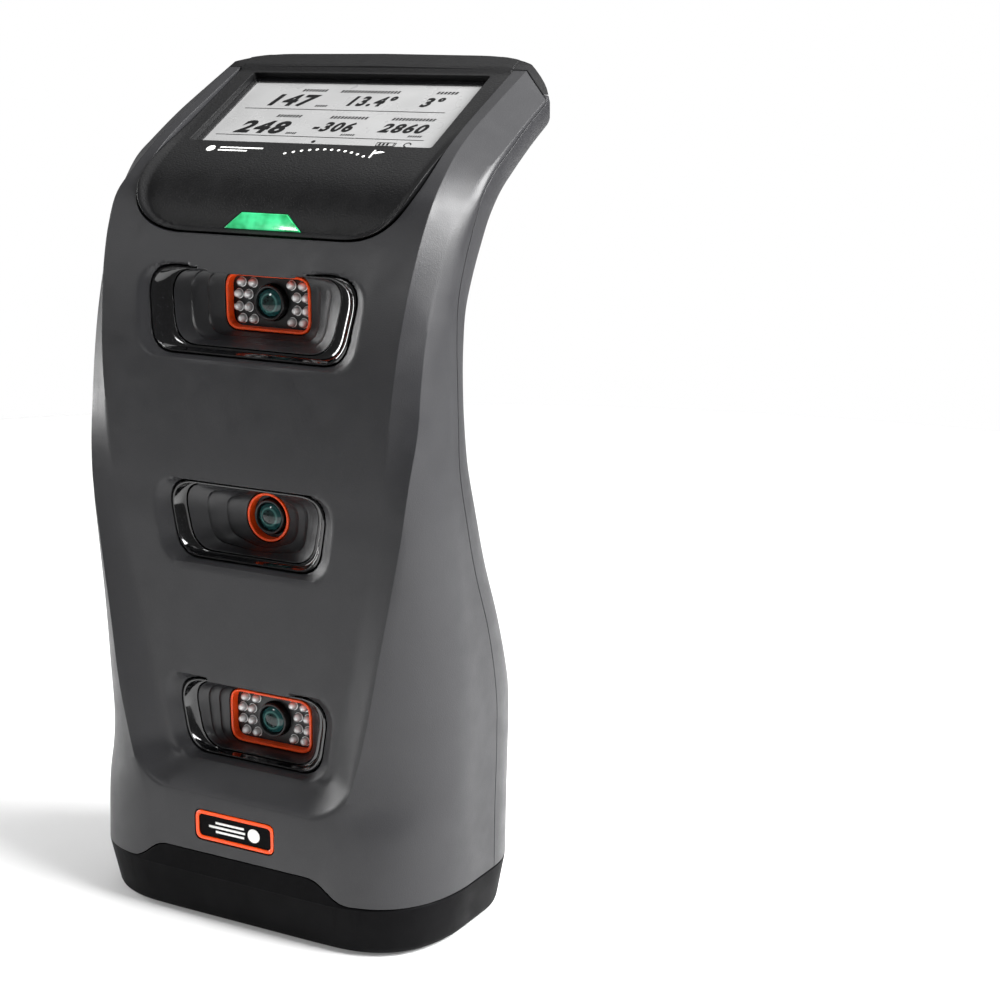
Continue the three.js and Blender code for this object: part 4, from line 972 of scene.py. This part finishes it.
def digit_height():
    heights = np.array([v.co.y for v in text_mesh("8").vertices])
    return heights.min(), heights.max()


def display_readouts():
    low, high = digit_height()
    for i, (text, left, right, base, top) in enumerate(READOUTS):
        mesh = text_mesh(text)
        points = np.array([v.co for v in mesh.vertices])
        x0, x1 = points[:, 0].min(), points[:, 0].max()
        points[:, 0] = left + (points[:, 0] - x0) / (x1 - x0) * (right - left)
        points[:, 1] = base + (points[:, 1] - low) / (high - low) * (top - base)
        mesh.vertices.foreach_set("co", points.ravel())
        obj = bpy.data.objects.new(f"readout_{i + 1}", mesh)
        scene.collection.objects.link(obj)
        stands_for(on_film(obj), INK, "black_plastic")


def caption(left, right, base, height):
    """A row of slanted bars in place of a word."""
    count = max(2, round((right - left) / (height * 0.85)))
    pitch, lean = (right - left) / count, height * 0.3
    for x in left + np.arange(count) * pitch:
        end = x + pitch * 0.62
        yield [(x, base), (end, base), (end + lean, base + height), (x + lean, base + height)]


def display_marks():
    """Caption bars, dividers and the status line's symbols: a dot, a battery and an open ring."""
    shapes = [bar for row in CAPTIONS for bar in caption(*row)]
    shapes += [rectangle(left, right, level - 0.17, level + 0.17) for left, right, level in DIVIDERS]
    left, right, low, high, line = 25.6, 33.0, -19.5, -17.1, 0.3
    shapes += [circle(0.85, (-1.1, -18.1), 24), rectangle(left, right, high - line, high),
               rectangle(left, right, low, low + line)]
    shapes += [rectangle(x, x + 0.35, low, high) for x in (left, right - line, right + line)]
    shapes += [rectangle(x, x + 0.9, low + 0.5, high - 0.5) for x in (26.6, 28.2, 29.8)]
    outside, inside = (circle(radius, (38.4, -18.2), 24)[:19] for radius in (1.5, 1.05))
    shapes.append([*outside, *inside[::-1]])
    stands_for(on_film(flat_object("display_marks", shapes)), INK, "black_plastic")


def status_lens():
    profile = pod_profile()
    low = [(y + 2.2, z) for y, z in profile[:30]]
    high = [(y - 0.35, z) for y, z in profile[:30]]
    lens = prism("status_light_lens", "x", [*high, *low[::-1]], -40, 40)
    combine(lens, prism("lens_limit", "y", status_lens_outline(0), -20, 20), "INTERSECT")
    bevel_edges(lens, 0.35, 50)
    stands_for(lens, GLOW, "status_green", "status_lens")


# ---- Cameras ----
def window_frame(name, camera):
    """A glossy frame with a rounded lip whose face slopes in to the cone."""
    outer, inner = camera["frame"], bezel_outline(camera["cone"])
    rings = [bezel_ring(camera, bezel_outline(outer, grow), FRAME_DEPTH + depth)
             for grow, depth in ((0, 7.6), (0, 0.5), (-0.15, -0.1), (-0.5, -0.4), (-0.9, -0.3))]
    start, low = rings[-1], bezel_ring(camera, inner, FRAME_DEPTH + FRAME_SLOPE)
    for t in (0.12, 0.3, 0.5, 0.7, 0.88):
        rings.append(start * (1 - t) + low * t + (0, 0.9 * math.sin(math.pi * t), 0))
    rings += [low, bezel_ring(camera, inner, FRAME_DEPTH + 7.6)]
    moulding = loft(f"{name}_window_moulding", rings, closed=True)
    stands_for(moulding, GLOSS, "gloss_black", f"{name}_window_frame")


RING = circle(1, count=96)


def ray_outline(outline, rays):
    """Where rays from the lens axis leave an outline."""
    side = np.roll(outline, -1, axis=0) - outline
    across = rays[:, :1] * side[:, 1] - rays[:, 1:] * side[:, 0]
    across[np.abs(across) < 1e-9] = np.inf
    along = (outline[:, 0] * side[:, 1] - outline[:, 1] * side[:, 0]) / across
    part = (outline[:, 0] * rays[:, 1:] - outline[:, 1] * rays[:, :1]) / across
    crossed = (part >= -1e-9) & (part <= 1 + 1e-9)
    return rays * np.where(crossed, along, 0).max(axis=1, keepdims=True)


def trim_outline(camera, grow):
    if not camera["lamps"]:
        return (RING_RADIUS + grow) * RING
    high = TRIM_HALF_HEIGHT + grow
    return rounded_rectangle(TRIM_HALF + grow, -high, high, TRIM_CORNER + grow)


def cone_bezel(name, camera):
    """The stepped funnel between the window frame and the coloured trim."""
    outline = bezel_outline(camera["cone"], -GAP)
    rim = outline if camera["lamps"] else ray_outline(outline, RING)
    start = bezel_ring(camera, rim, FRAME_DEPTH + FRAME_SLOPE + 0.3)
    end = level_ring(trim_outline(camera, GAP), camera["lens_y"] - 1.6, camera["z"])
    path = [(0, 0.35), (0, 0)]
    for i in range(CONE_STEPS):
        step = 0.5 if i else 0
        for share, drop in ((0.03, 0.6 * step), (0.08, step), (0.5, 0.5 * step), (0.9, 0), (0.98, -0.08)):
            path.append(((i + share) / CONE_STEPS, drop))
    path += [(1, 0), (1, 2.8), (0.88, 4.5), (0.05, 3.4)]
    rings = [start * (1 - t) + end * t + (0, drop, 0) for t, drop in path]
    stands_for(loft(f"{name}_cone_moulding", rings, closed=True), CONE, "cone_black", f"{name}_cone_bezel")


def trim(name, camera):
    front, back = camera["lens_y"] - 1.8, camera["lens_y"] + 1.4
    section = [(0, back), (0, front + 0.25), (-0.25, front), (-TRIM_WALL + 0.25, front),
               (-TRIM_WALL, front + 0.25), (-TRIM_WALL - 0.15, back)]
    rings = [level_ring(trim_outline(camera, grow), y, camera["z"]) for grow, y in section]
    stands_for(loft(f"{name}_trim_moulding", rings, closed=True), ORANGE, "orange_plastic", f"{name}_trim")


LAMP_PROFILE = [(0, -0.95), (0.4, -0.9), (0.8, -0.72), (1.15, -0.35), (1.42, 0.15), (LED_RADIUS, 0.8),
                (LED_RADIUS, 1.5), (1.8, 1.55), (1.8, 1.75), (0, 1.75)]


def led_places():
    for row, column in LED_ROWS:
        for side in (-1, 1):
            for level in (-1, 1):
                yield side * column, level * row


def led_board(name, camera):
    """A black lamp plate with a round hole for the lens, and its lamps as beads in it."""
    front = camera["lens_y"] + 1.7
    outline = rounded_rectangle(LAMP_PLATE["half"], -LAMP_PLATE["half_height"], LAMP_PLATE["half_height"], 2)
    plate = prism(f"{name}_lamp_plate", "y", outline, front, front + LAMP_PLATE["thick"])
    plate.location.z += camera["z"] * MM
    combine(plate, cylinder_y("lens_hole", BARREL_RADIUS + GAP, front - 2, front + 4, 0, camera["z"]))
    stands_for(plate, BARREL, "circuit_board", f"{name}_led_board")
    lamp = lathe("lamp", LAMP_PROFILE, (0, 0, 0), 24)
    bead = np.array([v.co for v in lamp.data.vertices]) / MM
    rings = [tuple(polygon.vertices) for polygon in lamp.data.polygons]
    bpy.data.objects.remove(lamp)
    points, faces = [], []
    for x, z in led_places():
        faces.extend(tuple(len(points) + k for k in ring) for ring in rings)
        points.extend(bead + (x, 0, z))
    lamps = mesh_object(f"{name}_lamps", points, faces, (0, camera["lens_y"], camera["z"]))
    stands_for(lamps, DOME, "light_guide")


def lens(name, camera):
    """A stepped barrel with a lip round one domed, coated glass."""
    front = camera["lens_y"] - 1.2
    origin = (0, front, camera["z"])
    barrel_profile = [(0, 2.2), (5.05, 2.2), (5.05, 1.1), (5.25, 0.55), (5.45, 0.12), (5.7, 0), (6.0, 0.02),
                      (BARREL_RADIUS, 0.35), (BARREL_RADIUS, 3.4), (5.6, 3.8), (5.6, 9.2), (0, 9.2)]
    barrel = lathe(f"{name}_lens_housing", barrel_profile, origin)
    stands_for(barrel, BARREL, "black_metal", f"{name}_lens_barrel")
    dome = [(0, -0.35), (0.8, -0.33), (1.6, -0.24), (2.4, -0.08), (3.2, 0.16), (4.0, 0.5), (4.6, 0.84),
            (4.95, 1.15), (4.98, 1.5), (4.9, 1.9), (0, 1.9)]
    glass = lathe(f"{name}_lens_front", dome, origin)
    stands_for(glass, LENS, "lens_glass", f"{name}_lens_glass", angle=60)


def lens_collar(name, camera):
    """The plain disc between the round trim and the lens."""
    front = camera["lens_y"] + 1.7
    section = [(6.7, front + 0.2), (6.9, front), (9.2, front), (9.4, front + 1.2), (6.7, front + 1.2)]
    rings = [level_ring(radius * RING, y, camera["z"]) for radius, y in section]
    collar = loft(f"{name}_lens_collar_moulding", rings, closed=True)
    stands_for(collar, CONE, "cone_black", f"{name}_lens_collar")


# ---- Base and badge ----
def base_station(z, inset):
    front, edge, ridge, corner, side, seam, back = STATIONS[0]
    return ((front[0] + inset, z), (edge[0], edge[1] + inset, z),
            (ridge[0] - inset * 0.3, ridge[1] + inset, z),
            (corner[0] - inset, corner[1] + inset, z), (side[0] - inset, side[1], z),
            (seam[0] - inset, seam[1], z), (back[0] - inset, z))


BASE_DETAIL = dict(face=20, bevel=6, corner=20, side=6, rear=22, back=10)


def base_loft(name, levels):
    rings = []
    for z, inset in levels:
        half = half_section(base_station(z, inset), BASE_DETAIL)
        rings.append(np.concatenate([half, half[-2:0:-1] * (-1, 1, 1)]))
    return loft(name, rings)


def base_tray():
    low = GROUND_CLEARANCE
    tray = base_loft("base_moulding", [(low, 5.0), (low + 0.35, 4.2), (low + 1.1, 3.5), (low + 2.4, 3.0),
                                       (BASE_TOP - 0.5, 0.1), (BASE_TOP, 0.35)])
    combine(tray, base_loft("pocket", [(9.5, 5.5), (BASE_TOP + 1, 3.2)]))
    hump = loft("hump", skin_rings(STATIONS, COARSE))
    combine(hump, hollow())
    combine(hump, prism("hump_band", "y", hump_outline(0), AHEAD, -10), "INTERSECT")
    combine(hump, box("hump_level", (-60, 60), (AHEAD, -20), (BASE_TOP - 0.8, 40)), "INTERSECT")
    combine(tray, hump, "UNION")
    wheel_seat = prism("wheel_seat", "z", circle(LEVELLER["wheel_radius"] + 0.8, (0, LEVELLER["y"])),
                       -1, LEVELLER["wheel_high"] + 0.5)
    stem_hole = prism("stem_hole", "z", circle(LEVELLER["stem_radius"] + GAP, (0, LEVELLER["y"]), 32), 0, 30)
    combine(tray, wheel_seat)
    combine(tray, stem_hole)
    for x, y in FEET:
        combine(tray, prism("foot_seat", "z", circle(FOOT_RADIUS + GAP, (x, y), 48), -1, 3.4))
    stands_for(tray, BASE_BLACK, "black_plastic", "base_tray")


def badge():
    """An orange rim round a black plate that carries a plain pictogram: a ball and its flight."""
    face, rim = BADGE["face"], BADGE["rim"]
    section = [(0, 3, face + 1.8), (0, 3, face + 0.3), (0.25, 2.8, face + 0.02), (1.0, 2.2, face),
               (rim, 2, face + 0.3), (rim, 2, face + 1.8)]
    rings = [level_ring(badge_outline(inset, radius), y) for inset, radius, y in section]
    stands_for(loft("badge_rim", rings, closed=True), ORANGE, "orange_plastic", "badge_frame")
    plate = prism("badge_panel", "y", badge_outline(rim + 0.1, 1.9), face + 0.6, face + 1.8)
    stands_for(plate, BASE_BLACK, "black_plastic", "badge_plate")
    middle, half = (BADGE["low"] + BADGE["high"]) / 2, 0.42
    shapes = [circle(2.6, (8.4, middle), 40)]
    for left, right, level in ((-8.4, 4.1, 1.7), (-11.4, 4.6, 0), (-8.4, 4.1, -1.7)):
        shapes.append(rectangle(left, right, middle + level - half, middle + level + half))
    for i, shape in enumerate(shapes):
        mark = prism(f"badge_mark_{i + 1}", "y", shape, face + 0.45, face + 0.7)
        stands_for(mark, WHITE_PRINT, "light_guide")


# ---- Materials of the CAD nodes that stay ----
KEPT = {
    FILM: ["lcd_panel"],
    LIGHT_GUIDE: ["backlight"],
    STEEL: ["display_frame", "battery_strap", "dc_jack", "usb_c_port", "ethernet_jack", "door_pin",
            "levelling_stem"],
    BOARD: ["display_board", "status_light_board", "main_board", "wireless_antenna", "power_switch",
            "top_sensor_board", "middle_sensor_board", "bottom_sensor_board"],
    ALUMINIUM: ["camera_backbone"],
    BATTERY: ["battery"],
    BASE_BLACK: ["port_bay", "power_button", "levelling_wheel"],
    RUBBER: ["port_door", "levelling_pad", *(f"rubber_foot_{i}" for i in range(1, 5))],
    BLACK_STEEL: [f"shell_screw_{i}" for i in range(1, 7)],
}


def dress_cad_nodes():
    for material, names in KEPT.items():
        for name in names:
            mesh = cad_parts[name].data
            mesh.materials.clear()
            mesh.materials.append(material)


# ---- Stage ----
FLOOR_RADIUS = 0.98
FLOOR_GLOW = 0.22
WORLD_LIGHT = 0.16
# Soft lights: name, place, target and size in metres, and power in watts.
LIGHTS = [
    ("overhead", (0.1, 0.75, 1.9), (0.0, 0.6, 0), (2.2, 2.2), 22),
    ("side_softbox", (0.85, 0.1, 0.8), (0.07, 0.03, 0.3), (0.75, 0.75), 48),
    ("key_softbox", (-0.55, -1.0, 0.75), (0, 0, 0.16), (0.18, 0.18), 2),
    ("left_strip", (-1.0, -0.1, 0.3), (-0.05, 0, 0.16), (0.22, 0.8), 9),
]
EYE = dict(place=(0.4099, -0.5913, 0.3216), tilt=76.531, turn=29.204, lens=71.86, sensor=36)


def area_light(name, place, target, size, power):
    data = bpy.data.lights.new(name, "AREA")
    data.shape = "RECTANGLE"
    data.size, data.size_y = size
    data.energy = power
    light = bpy.data.objects.new(name, data)
    light.location = place
    light.rotation_euler = (Vector(target) - Vector(place)).to_track_quat("-Z", "Y").to_euler()
    scene.collection.objects.link(light)


def floor():
    mesh = bpy.data.meshes.new("floor")
    rim = circle(FLOOR_RADIUS, (0, 0), 96)
    mesh.from_pydata([(x, y, 0) for x, y in rim], [], [tuple(range(len(rim)))])
    disc = bpy.data.objects.new("floor", mesh)
    scene.collection.objects.link(disc)
    pale = Surface("floor_pale", 0.8)
    pale.glow(pale.mix(pale.noise(40, 2), linear(0xd6d6d6), linear(0xdcdcdc)), FLOOR_GLOW)
    mesh.materials.append(pale.material)


def studio():
    """A world that is white to the camera and gives the object only a little light."""
    world = bpy.data.worlds.new("studio")
    world.use_nodes = True
    nodes, links = world.node_tree.nodes, world.node_tree.links
    seen = nodes.new("ShaderNodeLightPath")
    strength = nodes.new("ShaderNodeMapRange")
    strength.inputs["To Min"].default_value = WORLD_LIGHT
    strength.inputs["To Max"].default_value = 1.0
    links.new(seen.outputs["Is Camera Ray"], strength.inputs["Value"])
    links.new(strength.outputs["Result"], nodes["Background"].inputs["Strength"])
    nodes["Background"].inputs["Color"].default_value = (1, 1, 1, 1)
    scene.world = world
    scene.view_settings.view_transform = "Standard"
    for light in LIGHTS:
        area_light(*light)


def camera():
    data = bpy.data.cameras.new("photo_camera")
    data.sensor_width = EYE["sensor"]
    data.lens = EYE["lens"]
    eye = bpy.data.objects.new("photo_camera", data)
    eye.location = EYE["place"]
    eye.rotation_euler = (math.radians(EYE["tilt"]), 0, math.radians(EYE["turn"]))
    scene.collection.objects.link(eye)
    scene.camera = eye


def build():
    front_shell()
    rear_shell()
    base_tray()
    display_housing()
    pod_marks()
    display_mask()
    display_readouts()
    display_marks()
    status_lens()
    for name, parts in CAMERAS.items():
        window_frame(name, parts)
        cone_bezel(name, parts)
        trim(name, parts)
        lens(name, parts)
        if parts["lamps"]:
            led_board(name, parts)
        else:
            lens_collar(name, parts)
    badge()
    dress_cad_nodes()


build()
floor()
studio()
camera()
